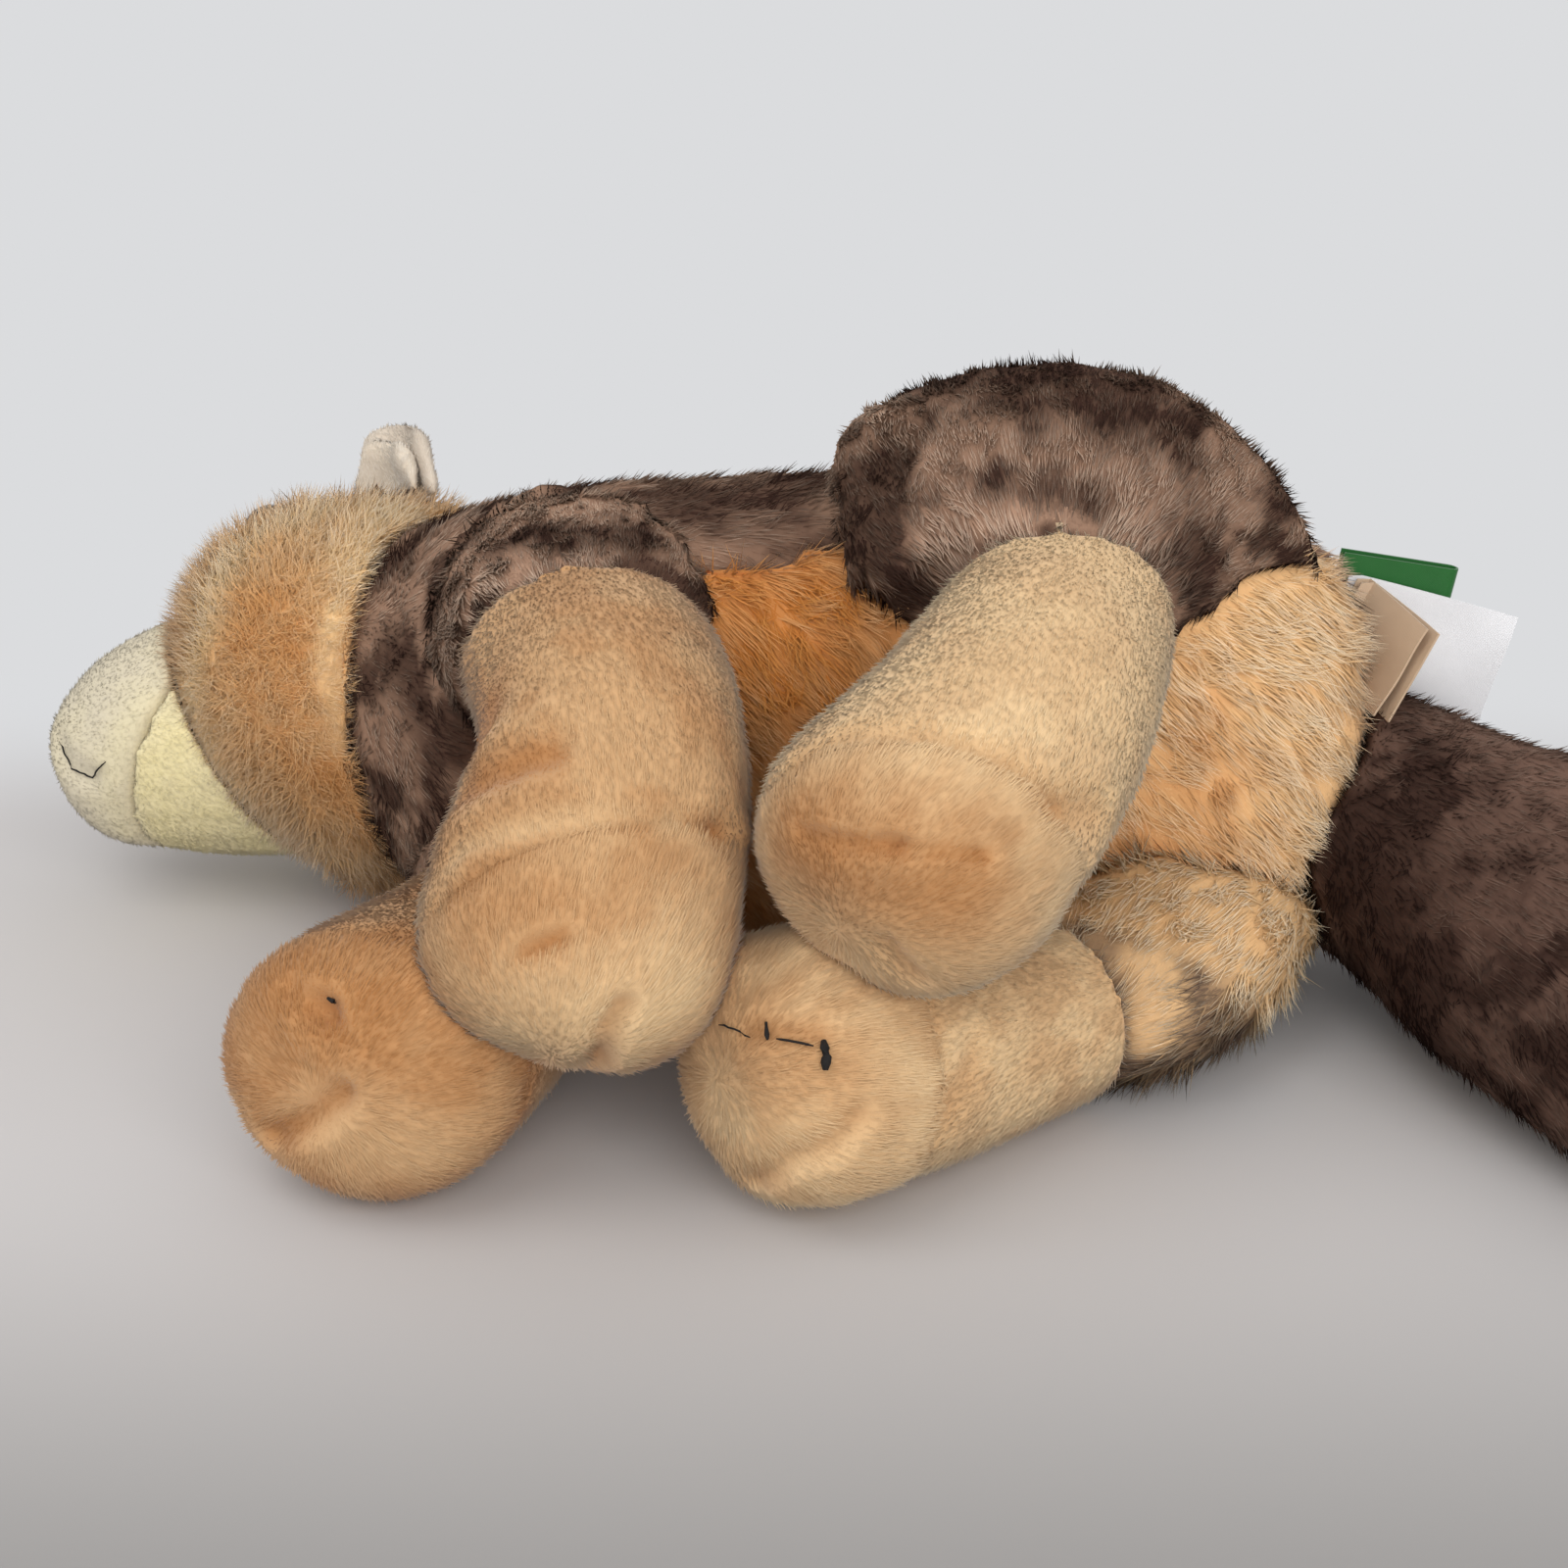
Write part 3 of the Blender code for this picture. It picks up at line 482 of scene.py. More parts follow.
FLEECE_PILE = Pile(
    "fleece_pile", long=1.2 * MM, wide=0.35 * MM, bend=0.4 * MM,
    inset=0.7 * MM, lift=0.8, scatter=0.7, lock=3 * MM, gather=0.1, lean=0.3,
    fleck=0.08, lock_shade=0.04, softness=0.93,
)


def fur_tree() -> bpy.types.NodeTree:
    """Build the tree that grows a pile on a skin.

    The skin carries five attributes: cover (where it shows), comb (the lie of the pile), out
    (its outward normal), height (how long the pile is there) and shade (from dark to light).

    Returns:
        The Geometry Nodes tree.
    """
    tree = bpy.data.node_groups.new("fur", "GeometryNodeTree")
    names = ("Density", "Lift", "Scatter", "Lock size", "Gather", "Lean", "Fleck", "Lock shade")
    for name, kind in (
        ("Skin", "Geometry"), *((name, "Float") for name in names), ("Seed", "Int"),
        ("Strand", "Object"), ("Pile finish", "Material"),
    ):
        tree.interface.new_socket(name, in_out="INPUT", socket_type="NodeSocket" + kind)
    tree.interface.new_socket("Fur", in_out="OUTPUT", socket_type="NodeSocketGeometry")
    given = add(tree, "NodeGroupInput", {}).outputs

    def plain(operation: str, first: object, second: object = 0.0, third: object = 0.0) -> object:
        """A sum on numbers."""
        return add(tree, "ShaderNodeMath", {0: first, 1: second, 2: third}, operation=operation)

    def arrow(operation: str, first: object, second: object) -> object:
        """A sum on vectors, or on a vector and a number for SCALE."""
        values = {0: first, (3 if operation == "SCALE" else 1): second}
        return add(tree, "ShaderNodeVectorMath", values, operation=operation)

    def carried(name: str, kind: str = "FLOAT") -> object:
        """An attribute that the skin or the strand carries."""
        return add(tree, "GeometryNodeInputNamedAttribute", {"Name": name}, data_type=kind)

    density = plain("MULTIPLY", given["Density"], carried("cover"))
    spread = add(
        tree, "GeometryNodeDistributePointsOnFaces",
        {"Mesh": given["Skin"], "Density": density, "Seed": given["Seed"]},
        distribute_method="RANDOM",
    )
    at = add(tree, "GeometryNodeInputPosition", {})
    per_metre = plain("DIVIDE", 1.0, given["Lock size"])
    locks = add(tree, "ShaderNodeTexVoronoi", {"Vector": at, "Scale": per_metre}).outputs
    inward = arrow("SUBTRACT", locks["Position"], at)
    gather = arrow("SCALE", inward, plain("DIVIDE", given["Gather"], given["Lock size"]))
    lean = arrow("SCALE", arrow("SUBTRACT", locks["Color"], (0.5, 0.5, 0.5)), given["Lean"])
    stray = add(
        tree, "FunctionNodeRandomValue",
        {"Min": (-1, -1, -1), "Max": (1, 1, 1), "Seed": given["Seed"]}, data_type="FLOAT_VECTOR",
    )
    way = arrow("SCALE", carried("out", "FLOAT_VECTOR"), given["Lift"])
    scatter = arrow("SCALE", stray, given["Scatter"])
    for more in (carried("comb", "FLOAT_VECTOR"), gather, lean, scatter):
        way = arrow("ADD", way, more)
    own_seed = plain("ADD", given["Seed"], 7.0)
    chance = add(tree, "FunctionNodeRandomValue", {"Seed": own_seed}, data_type="FLOAT")
    lock_chance = add(tree, "ShaderNodeSeparateXYZ", {0: locks["Color"]})
    shade = carried("shade")
    for draw, share in ((chance, given["Fleck"]), (lock_chance, given["Lock shade"])):
        shade = plain("MULTIPLY_ADD", plain("SUBTRACT", draw, 0.5), share, shade)
    shade = add(tree, "ShaderNodeClamp", {0: shade, 1: MAP_EDGE, 2: 1 - MAP_EDGE})
    shaded = add(
        tree, "GeometryNodeStoreNamedAttribute",
        {"Geometry": spread, "Name": "shade", "Value": shade}, data_type="FLOAT", domain="POINT",
    )
    turn = add(
        tree, "FunctionNodeAxesToRotation",
        {"Primary Axis": way, "Secondary Axis": carried("comb", "FLOAT_VECTOR")},
        primary_axis="Z", secondary_axis="X",
    )
    high = carried("height")
    size = plain("MULTIPLY", high, plain("MULTIPLY_ADD", chance, STRAND_SPREAD, SHORTEST_STRAND))
    strand = add(tree, "GeometryNodeObjectInfo", {"Object": given["Strand"]}).outputs["Geometry"]
    stood = add(
        tree, "GeometryNodeInstanceOnPoints",
        {"Points": shaded, "Instance": strand, "Rotation": turn, "Scale": size},
    )
    real = add(tree, "GeometryNodeRealizeInstances", {0: stood})
    x, y, z = add(tree, "ShaderNodeSeparateXYZ", {0: at}).outputs
    above = add(tree, "ShaderNodeCombineXYZ", {0: x, 1: y, 2: plain("MAXIMUM", z, TABLE_CLEAR)})
    rested = add(tree, "GeometryNodeSetPosition", {"Geometry": real, "Position": above})
    # The map's first coordinate is the shade: the dye, with any painted highlights and painted shade.
    dye = plain("MULTIPLY_ADD", carried("across"), STRAND_ON_MAP, carried("shade"))
    rise = plain("MULTIPLY_ADD", carried("along"), 1 - 2 * MAP_EDGE, MAP_EDGE)
    stored = add(
        tree, "GeometryNodeStoreNamedAttribute",
        {
            "Geometry": rested,
            "Name": PATTERN_MAP,
            "Value": add(tree, "ShaderNodeCombineXYZ", {0: dye, 1: rise}),
        },
        data_type="FLOAT2", domain="CORNER",
    )
    dressed = add(
        tree, "GeometryNodeSetMaterial", {"Geometry": stored, "Material": given["Pile finish"]}
    )
    add(tree, "NodeGroupOutput", {"Fur": dressed})
    return tree


# Skins


@dataclass(frozen=True)
class Comb:
    """The lie of the pile: along a fixed way, away from a point, or both.

    A spread below 0 lays it towards the point.
    """

    way: tuple[float, float, float]
    source: Vector | None = None
    spread: float = 1.0
    strength: float = 1.0

    def ways(self, points: np.ndarray) -> np.ndarray:
        """The lie at each point, before it is laid in the skin's own plane."""
        lie = np.tile(np.array(self.way), (len(points), 1))
        if self.source is not None:
            away = points - np.array(self.source)
            away /= np.linalg.norm(away, axis=1, keepdims=True) + 1e-9
            lie = lie + away * self.spread
        return lie

    def field(self, points: np.ndarray, normals: np.ndarray) -> np.ndarray:
        """The lie at each point of a skin.

        Args:
            points: The skin's points.
            normals: Its outward normals.

        Returns:
            A vector in the skin's own plane for each point, as long as the comb is strong.
        """
        lie = self.ways(points)
        lie -= normals * (lie * normals).sum(axis=1, keepdims=True)
        return lie / (np.linalg.norm(lie, axis=1, keepdims=True) + 1e-6) * self.strength


@dataclass(frozen=True)
class PawComb(Comb):
    """The lie on a leg: down it to the ankle's seam, and away from the paw's tip beyond."""

    ankle: Vector = Vector((0, 0, 0))
    seam_way: Vector = Vector((0, 0, 1))
    blend: float = 5 * MM

    def ways(self, points: np.ndarray) -> np.ndarray:
        """The lie at each point, before it is laid in the skin's own plane."""
        beyond = (points - np.array(self.ankle)) @ np.array(self.seam_way) / self.blend
        share = np.clip(beyond + 0.5, 0, 1)[:, None]
        away = points - np.array(self.source)
        away /= np.linalg.norm(away, axis=1, keepdims=True) + 1e-9
        return np.array(self.way) * (1 - share) + away * share


def off_line(points: np.ndarray, path: tuple[Vector, ...]) -> np.ndarray:
    """How far points lie from a line.

    Args:
        points: The points.
        path: The line's corners, or one corner for a spot.

    Returns:
        The distance of each point in metres.
    """
    corners = np.array([tuple(corner) for corner in (path if len(path) > 1 else path * 2)])
    far = np.full(len(points), np.inf)
    for start, end in zip(corners, corners[1:]):
        run = end - start
        share = np.clip(((points - start) @ run) / max(run @ run, 1e-12), 0, 1)
        far = np.minimum(far, np.linalg.norm(points - start - share[:, None] * run, axis=1))
    return far


def wander(points: np.ndarray, grain: float, octaves: int = 2) -> np.ndarray:
    """Smooth noise at each point, from about -1 to 1, whose humps are one grain wide."""
    scaled = (Vector(point) / grain for point in points.tolist())
    return np.array([noise.fractal(at, FRACTAL_FALL, FRACTAL_STEP, octaves) for at in scaled])


@dataclass(frozen=True)
class Patch:
    """A spot or a streak with its own shade of the dye, some of them painted highlights and painted
    shade, or its own length of the pile.
    """

    line: tuple[Vector, ...]
    radius: float
    value: float
    edge: float = 2.0

    def weight(self, points: np.ndarray) -> np.ndarray:
        """How far the patch counts at each point, from 0 to 1."""
        return np.exp(-((off_line(points, self.line) / self.radius) ** self.edge) * 0.9)


def patch(
    radius: float, value: float, *corners: tuple[float, float, float], edge: float = 2.0
) -> Patch:
    """A patch whose radius and corners are given in millimetres."""
    return Patch(line(*corners), radius * MM, value, edge)


@dataclass(frozen=True)
class DyeAndPaintedLight:
    """How the dye is mottled: its mean shade, how strongly and how widely it wanders; its patches also
    hold painted highlights and painted shade.
    """

    mean: float
    contrast: float
    grain: float
    patches: tuple[Patch, ...] = ()
    darkest: float = 0.03
    lightest: float = 0.97

    def shades(self, points: np.ndarray) -> np.ndarray:
        """The shade at each point, from 0, dark, to 1, light."""
        share = np.clip(0.5 + 2.0 * wander(points, self.grain, 3), 0, 1)
        shades = self.mean + self.contrast * (share * share * (3 - 2 * share) - 0.5)
        frayed = 1 + 0.5 * wander(points + self.grain, self.grain * 0.3)
        for spot in self.patches:
            shades += spot.weight(points) ** frayed * (spot.value - shades)
        return np.clip(shades, self.darkest, self.lightest)


@dataclass(frozen=True)
class Crease:
    """A line or a spot that is drawn into the filling, or swells where it is less than 0 deep."""

    line: tuple[Vector, ...]
    deep: float
    wide: float
    lip: float = 0.35
    lip_at: float = 2.1
    lip_sharp: float = 1.4

    def pull(self, points: np.ndarray) -> np.ndarray:
        """How far each point is drawn in; what is pushed out beside the crease is negative."""
        far = off_line(points, self.line) / self.wide
        lip = self.lip * np.exp(-((far - self.lip_at) ** 2) * self.lip_sharp)
        return self.deep * (np.exp(-(far**2)) - lip)


def crease(
    deep: float, wide: float, *corners: tuple[float, float, float], lip: float = 0.35
) -> Crease:
    """A crease whose depth, width and corners are given in millimetres."""
    return Crease(line(*corners), deep * MM, wide * MM, lip)


@dataclass(frozen=True)
class SeamPlane:
    """A seam round a section, on a plane: both fabrics turn in to it."""

    at: Vector
    normal: Vector
    deep: float
    wide: float

    def pull(self, points: np.ndarray) -> np.ndarray:
        """How far each point is drawn in."""
        far = ((points - np.array(self.at)) @ np.array(self.normal.normalized())) / self.wide
        return self.deep * np.exp(-(far**2))


@dataclass(frozen=True)
class Tuck:
    """The end of a tube, narrowed where it goes up into the next section's fur."""

    at: Vector
    way: Vector
    deep: float
    wide: float

    def narrowed(self, points: np.ndarray, moved: np.ndarray) -> np.ndarray:
        """Narrow the tube behind a plane, in full there and not at all past it.

        Args:
            points: The skin's points as they were.
            moved: Where its seams and pulls have drawn them.

        Returns:
            The points, which behind the plane have moved only towards the tube's axis.
        """
        at, way = np.array(self.at), np.array(self.way.normalized())
        share = np.clip(0.5 - ((points - at) @ way) / self.wide, 0, 1)[:, None]
        kept = moved + way * ((points - moved) @ way)[:, None] * share
        outward = kept - at - way * ((kept - at) @ way)[:, None]
        radius = np.linalg.norm(outward, axis=1, keepdims=True) + 1e-9
        return kept - outward * np.minimum(self.deep / radius, 0.9) * share


@dataclass(frozen=True)
class Section:
    """One stuffed section: the CAD nodes it stands for, its fabric and its shaping.

    Solids within its reach cover it, apart from those it is open to. The lump is how far the
    filling is uneven, and the relax is how often its cells are smoothed.
    """

    nodes: tuple[str, ...]
    finish: FurFinish
    pile: Pile
    strands: int
    comb: Comb
    # The dye's mottling, which also carries painted highlights and painted shade.
    dye: DyeAndPaintedLight
    cell: float
    seed: int
    relax: int = 4
    creases: tuple[Crease | SeamPlane, ...] = ()
    trims: tuple[Patch, ...] = ()
    reach: float = 1.2 * MM
    lump: float = 0.7 * MM
    open_to: tuple[str, ...] = ()
    tucks: tuple[Tuck, ...] = ()

    @property
    def name(self) -> str:
        """The first node's name, which the skin and the pile go by."""
        return self.nodes[0]


def search_tree(mesh: bpy.types.Mesh) -> BVHTree:
    """A search tree of a mesh's faces."""
    points = [corner.co.copy() for corner in mesh.vertices]
    return BVHTree.FromPolygons(points, [tuple(face.vertices) for face in mesh.polygons])


class Solids:
    """The CAD solids, as search trees that say where one section is hidden by another."""

    seam_in: float = 0.6 * MM
    seam_near: float = 0.7 * MM
    table_near: float = 1.5 * MM
    table_facing: float = -0.6

    def __init__(self, nodes: dict[str, bpy.types.Object]) -> None:
        """Build one search tree for each CAD node."""
        self.trees = {name: search_tree(node.data) for name, node in nodes.items()}
        self.boxes = {name: tuple(Vector(corner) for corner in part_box(name)) for name in nodes}

    def near(self, names: tuple[str, ...], margin: float) -> list[BVHTree]:
        """The trees of the other solids that come within a margin of a section's boxes."""
        found = []
        for other, (other_low, other_high) in self.boxes.items():
            apart = min(
                max(
                    max(other_low[axis] - self.boxes[name][1][axis] for axis in range(3)),
                    max(self.boxes[name][0][axis] - other_high[axis] for axis in range(3)),
                )
                for name in names
            )
            if other not in names and apart < margin:
                found.append(self.trees[other])
        return found

    def shown(
        self, names: tuple[str, ...], points: np.ndarray, normals: np.ndarray, reach: float
    ) -> np.ndarray:
        """Where a section's outside is open to the air.

        Args:
            names: The section's CAD nodes.
            points: Points on it.
            normals: The outward normals there.
            reach: How far out another solid still covers a point.

        Returns:
            1 for each point that shows and 0 for each that is covered or lies on the table.
        """
        others = self.near(names, reach)
        shown = np.ones(len(points))
        for index, (point, normal) in enumerate(zip(points.tolist(), normals.tolist())):
            at, out = Vector(point), Vector(normal)
            shown[index] = not (
                at.z < self.table_near and out.z < self.table_facing
                or any(self.covers(tree, at, out, reach) for tree in others)
            )
        return shown

    def covers(self, tree: BVHTree, at: Vector, out: Vector, reach: float) -> bool:
        """Whether a solid lies over a point or close beside it."""
        over = tree.ray_cast(at - out * self.seam_in, out, reach)[0] is not None
        return over or tree.find_nearest(at, self.seam_near)[0] is not None


def softened(values: np.ndarray, edges: np.ndarray, times: int) -> np.ndarray:
    """Average a value over each point's neighbours.

    Args:
        values: One value for each point.
        edges: Pairs of points.
        times: How often to average.

    Returns:
        The averaged values.
    """
    count = np.bincount(edges.ravel(), minlength=len(values)) + 1.0
    for _ in range(times):
        total = values.copy()
        np.add.at(total, edges[:, 0], values[edges[:, 1]])
        np.add.at(total, edges[:, 1], values[edges[:, 0]])
        values = total / count
    return values


@dataclass
class StuffedPart:
    """A sub-assembly of stuffed sections: their skins, the pile on them and their threads."""

    skins: dict[str, bpy.types.Object] = field(default_factory=dict, init=False)

    def sections(self) -> tuple[Section, ...]:
        """The sections, in the order in which they are made."""
        raise NotImplementedError

    def threads(self) -> dict[str, "Stitch"]:
        """The lines of dark thread on the pile, by name."""
        return {}

    def build(self, solids: Solids) -> None:
        """Make every section's skin from its CAD solids.

        Args:
            solids: The CAD solids' search trees.
        """
        for section in self.sections():
            self.skins[section.name] = self.skin(section, solids)

    def skin(self, section: Section, solids: Solids) -> bpy.types.Object:
        """Make one section's skin: even cells, the pile's height off, seams and pulls drawn in.

        Args:
            section: The section.
            solids: The CAD solids' search trees.

        Returns:
            The skin, with the five attributes that the fur tree reads.
        """
        work = bmesh.new()
        for node in section.nodes:
            work.from_mesh(frame["nodes"][node].data)
        bmesh.ops.remove_doubles(work, verts=work.verts, dist=0.001 * MM)
        skin = placed(section.name + "_skin", finished(work, section.name + "_skin"))
        cells = skin.modifiers.new("even cells", "REMESH")
        cells.mode = "VOXEL"
        cells.voxel_size = section.cell
        relax = skin.modifiers.new("relax", "SMOOTH")
        relax.iterations = section.relax
        plain_mesh(skin)
        mesh = skin.data
        mesh.name = skin.name
        count = len(mesh.vertices)
        points, normals = np.empty(count * 3), np.empty(count * 3)
        edges = np.empty(len(mesh.edges) * 2, dtype=np.int32)
        mesh.vertices.foreach_get("co", points)
        mesh.vertex_normals.foreach_get("vector", normals)
        mesh.edges.foreach_get("vertices", edges)
        points, normals = points.reshape(-1, 3), normals.reshape(-1, 3)
        edges = edges.reshape(-1, 2)

        own = section.nodes + section.open_to
        shown = solids.shown(own, points, normals, section.reach)
        open_air = softened(shown, edges, 2)
        pull = np.zeros(count)
        for fold in section.creases:
            pull += fold.pull(points)
        sunk = pull + section.lump * wander(points, LUMP_GRAIN)
        trim = np.ones(count)
        for spot in section.trims:
            trim += spot.weight(points) * (spot.value - trim)
        drawn = section.pile.inset * open_air * np.clip(trim, 0, 1)
        drawn = softened(drawn + sunk * np.clip(open_air * 1.3, 0, 1), edges, 1)
        moved = points - normals * drawn[:, None]
        for tuck in section.tucks:
            moved = tuck.narrowed(points, moved)
        moved[:, 2] = np.maximum(moved[:, 2], TABLE_CLEAR)
        mesh.vertices.foreach_set("co", moved.ravel())
        mesh.update()
        mesh.shade_smooth()

        parted = LOST_WHERE_PARTED * np.clip(pull, 0, None) / DEPTH_THAT_PARTS
        height = np.maximum(1 - parted, SHORTEST_IN_CREASE)
        facing = np.clip(0.5 + 0.9 * (normals @ np.array(SEEN_FROM)), 0, 1)
        # Painted shade: the deeper a crease is drawn in, the darker its shade.
        shade = section.dye.shades(points) - np.clip(pull, 0, DEEPEST_PAINTED_SHADE) / PAINTED_SHADE_DEPTH
        values = {
            "cover": (open_air > LEAST_OPEN) * (0.5 + 0.5 * facing),
            "height": height * trim * (0.75 + 0.25 * open_air),
            "shade": np.clip(shade, 0.02, 1),
        }
        for name, numbers in values.items():
            made = mesh.attributes.new(name, "FLOAT", "POINT")
            made.data.foreach_set("value", numbers.astype(np.float32))
        for name, arrows in (("comb", section.comb.field(points, normals)), ("out", normals)):
            made = mesh.attributes.new(name, "FLOAT_VECTOR", "POINT")
            made.data.foreach_set("vector", arrows.astype(np.float32).ravel())
        mesh.materials.clear()
        mesh.materials.append(section.finish.backing())
        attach(skin, BODY)
        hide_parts(*section.nodes)
        LOG.info("%s: skin of %d faces", section.name, len(mesh.polygons))
        return skin

    def dress(self, tree: bpy.types.NodeTree, strands: dict[str, bpy.types.Object]) -> None:
        """Grow every section's pile.

        Args:
            tree: The fur tree.
            strands: One strand for each pile, by the pile's name.
        """
        for section in self.sections():
            skin = self.skins[section.name]
            fur = placed(section.name + "_pile", skin.data.copy())
            grow = fur.modifiers.new("pile", "NODES")
            grow.node_group = tree
            pile = section.pile
            given = {
                "Density": section.strands / max(self.open_area(skin.data), 1e-6),
                "Lift": pile.lift,
                "Scatter": pile.scatter,
                "Lock size": pile.lock,
                "Gather": pile.gather,
                "Lean": pile.lean,
                "Fleck": pile.fleck,
                "Lock shade": pile.lock_shade,
                "Seed": section.seed,
                "Strand": strands[pile.name],
                "Pile finish": section.finish.pile(),
            }
            for item in tree.interface.items_tree:
                if item.in_out == "INPUT" and item.name in given:
                    grow[item.identifier] = given[item.name]
            plain_mesh(fur)
            fur.data.name = fur.name
            fur.data.shade_smooth()
            self.soften(fur.data, pile.softness)
            for name in ("shade", "comb", "cover", "height", "along", "across", "out"):
                if name in fur.data.attributes:
                    fur.data.attributes.remove(fur.data.attributes[name])
            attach(fur, BODY)
            LOG.info("%s: pile of %d faces", section.name, len(fur.data.polygons))

    def sew(self) -> None:
        """Lay the threads on the skins."""
        trees = [search_tree(skin.data) for skin in self.skins.values()]
        for name, stitch in self.threads().items():
            stitch.tube(name, trees)
            LOG.info("%s: thread", name)

    @staticmethod
    def soften(mesh: bpy.types.Mesh, softness: float) -> None:
        """Turn the strands' shading normals towards the skin's, as a soft mass of fibres shades.

        Args:
            mesh: The pile.
            softness: The skin's share.
        """
        count = len(mesh.vertices)
        own, out = np.empty(count * 3), np.empty(count * 3)
        mesh.vertex_normals.foreach_get("vector", own)
        mesh.attributes["out"].data.foreach_get("vector", out)
        mixed = own.reshape(-1, 3) * (1 - softness) + out.reshape(-1, 3) * softness
        mixed /= np.linalg.norm(mixed, axis=1, keepdims=True) + 1e-9
        mesh.normals_split_custom_set_from_vertices(mixed)

    @staticmethod
    def open_area(mesh: bpy.types.Mesh) -> float:
        """The area of a skin that pile grows on, in square metres."""
        cover = np.empty(len(mesh.vertices))
        mesh.attributes["cover"].data.foreach_get("value", cover)
        return sum(face.area * cover[list(face.vertices)].mean() for face in mesh.polygons)


# Sub-assemblies


@dataclass(frozen=True)
class Stitch:
    """A line of thread on the fur: its points, which are laid on the skin, and its thickness."""

    points: tuple[Vector, ...]
    thick: float
    proud: float
    step: float = 1.2 * MM
    find_within: float = 12 * MM
    sides: int = 6
    end_share: float = 0.55

    def tube(self, name: str, trees: list[BVHTree]) -> bpy.types.Object:
        """The thread as a closed tube that tapers to both ends.

        Args:
            name: The piece's name.
            trees: The skins that the thread lies on.

        Returns:
            The piece.
        """
        path = []
        for start, end in zip(self.points, self.points[1:]):
            steps = max(2, int((end - start).length / self.step))
            path += [start.lerp(end, step / steps) for step in range(steps)]
        path.append(self.points[-1])
        laid = []
        for point in path:
            hits = [tree.find_nearest(point, self.find_within) for tree in trees]
            found = (hit for hit in hits if hit[0] is not None)
            at, normal, _, _ = min(found, key=lambda hit: hit[3])
            laid.append(at + normal * self.proud)
        work = bmesh.new()
        loops = []
        last = len(laid) - 1
        for index, at in enumerate(laid):
            way = (laid[min(index + 1, last)] - laid[max(index - 1, 0)]).normalized()
            side = way.orthogonal().normalized()
            over = way.cross(side)
            slim = self.end_share if index in (0, last) else 1.0
            ring = []
            for corner in range(self.sides):
                angle = 2 * pi * corner / self.sides
                spoke = (side * cos(angle) + over * sin(angle)) * self.thick / 2 * slim
                ring.append(work.verts.new(at + spoke))
            loops.append(ring)
        for near, far in zip(loops, loops[1:]):
            for corner in range(self.sides):
                after = (corner + 1) % self.sides
                work.faces.new((near[corner], near[after], far[after], far[corner]))
        work.faces.new(loops[0])
        work.faces.new(loops[-1])
        bmesh.ops.recalc_face_normals(work, faces=work.faces)
        mesh = finished(work, name)
        mesh.shade_smooth()
        mesh.materials.append(DARK_THREAD.thread())
        made = placed(name, mesh)
        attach(made, BODY)
        return made


@dataclass
class Trunk(StuffedPart):
    """The back and flanks in mottled grey plush, and the belly in long orange plush."""

    cell: float = 3.4 * MM
    back_strands: int = 19500
    belly_strands: int = 22000

    def sections(self) -> tuple[Section, ...]:
        """The back, then the belly."""
        return (
            Section(
                ("torso",), GREY_FUR, DARK_PILE, self.back_strands,
                Comb((1.0, 0.1, -0.25), strength=0.8),
                DyeAndPaintedLight(0.3, 0.9, 12 * MM, (
                    patch(9, 0.8, (-85, -1, 90), (-90, 4, 82)),
                    patch(7, 0.12, (-84, -14, 74), (-80, -20, 62)),
                    patch(5, 0.7, (-89, -13, 67), (-85, -19, 60)),
                    patch(14, 0.04, (-21, -3, 113), (0, -5, 113)),
                    patch(5, 0.3, (-10, -14, 108), (2, -16, 107)),
                    patch(4, 0.8, (9, -4, 113), (12, -12, 109)),
                    patch(12, 0.55, (110, -6, 114), (120, -2, 104)),
                )),
                cell=self.cell, seed=11,
                creases=(
                    crease(7, 9, (66, -48, 50), (84, -48, 46), (100, -44, 40), (112, -36, 30), lip=0.0),
                ),
            ),
            Section(
                ("belly_panel",), BELLY_FUR, BELLY_PILE, self.belly_strands,
                Comb((0.6, -0.2, -0.6), strength=0.6),
                DyeAndPaintedLight(0.6, 0.35, 22 * MM, (
                    patch(40, 0.05, (-5, -25, 95), (-4, -37, 60)),
                    # Painted light: paler here to lift the shade that the legs cast on the lower belly.
                    patch(14, 0.35, (-4, -38, 58), (-2, -40, 40)),
                    patch(34, 0.9, (112, -22, 90), (108, -38, 42)),
                    patch(11, 0.5, (90, -40, 70), (84, -42, 50)),
                )),
                cell=self.cell, seed=12,
                creases=(
                    crease(-8, 13, (90, -42, 50), (104, -36, 40), lip=0.0),
                    crease(7, 13, (-67, -28, 70), (-68, -46, 74), (-64, -56, 62), lip=0.0),
                ),
            ),
        )


@dataclass
class Tail(StuffedPart):
    """The brush of the tail, dark with paler streaks on its upper side, partly a painted highlight, and
    darkest low down, partly painted shade.
    """

    cell: float = 3.4 * MM
    strands: int = 13000

    def sections(self) -> tuple[Section, ...]:
        """The one tube of fur."""
        return (
            Section(
                ("tail",), TAIL_FUR, DARK_PILE, self.strands,
                Comb((0.55, -0.8, -0.25), strength=0.8),
                DyeAndPaintedLight(0.14, 0.55, 11 * MM, (
                    # Paler along the top: partly the fur's own streaks, partly a painted highlight.
                    patch(12, 0.75, (146, -12, 66), (155, -40, 67), (160, -60, 66)),
                    patch(6, 0.4, (128, -57, 50), (142, -84, 46)),
                    # Darkest low down near the table: partly the fur's own tone, partly painted shade.
                    patch(14, 0.03, (121, -56, 42), (129, -73, 20)),
                )),
                cell=self.cell, seed=21,
                creases=(
                    crease(-4, 16, (168, -42, 66), (182, -80, 62), lip=0.0),
                    crease(-3, 14, (128, -72, 14), (146, -104, 12), lip=0.0),
                ),
            ),
        )


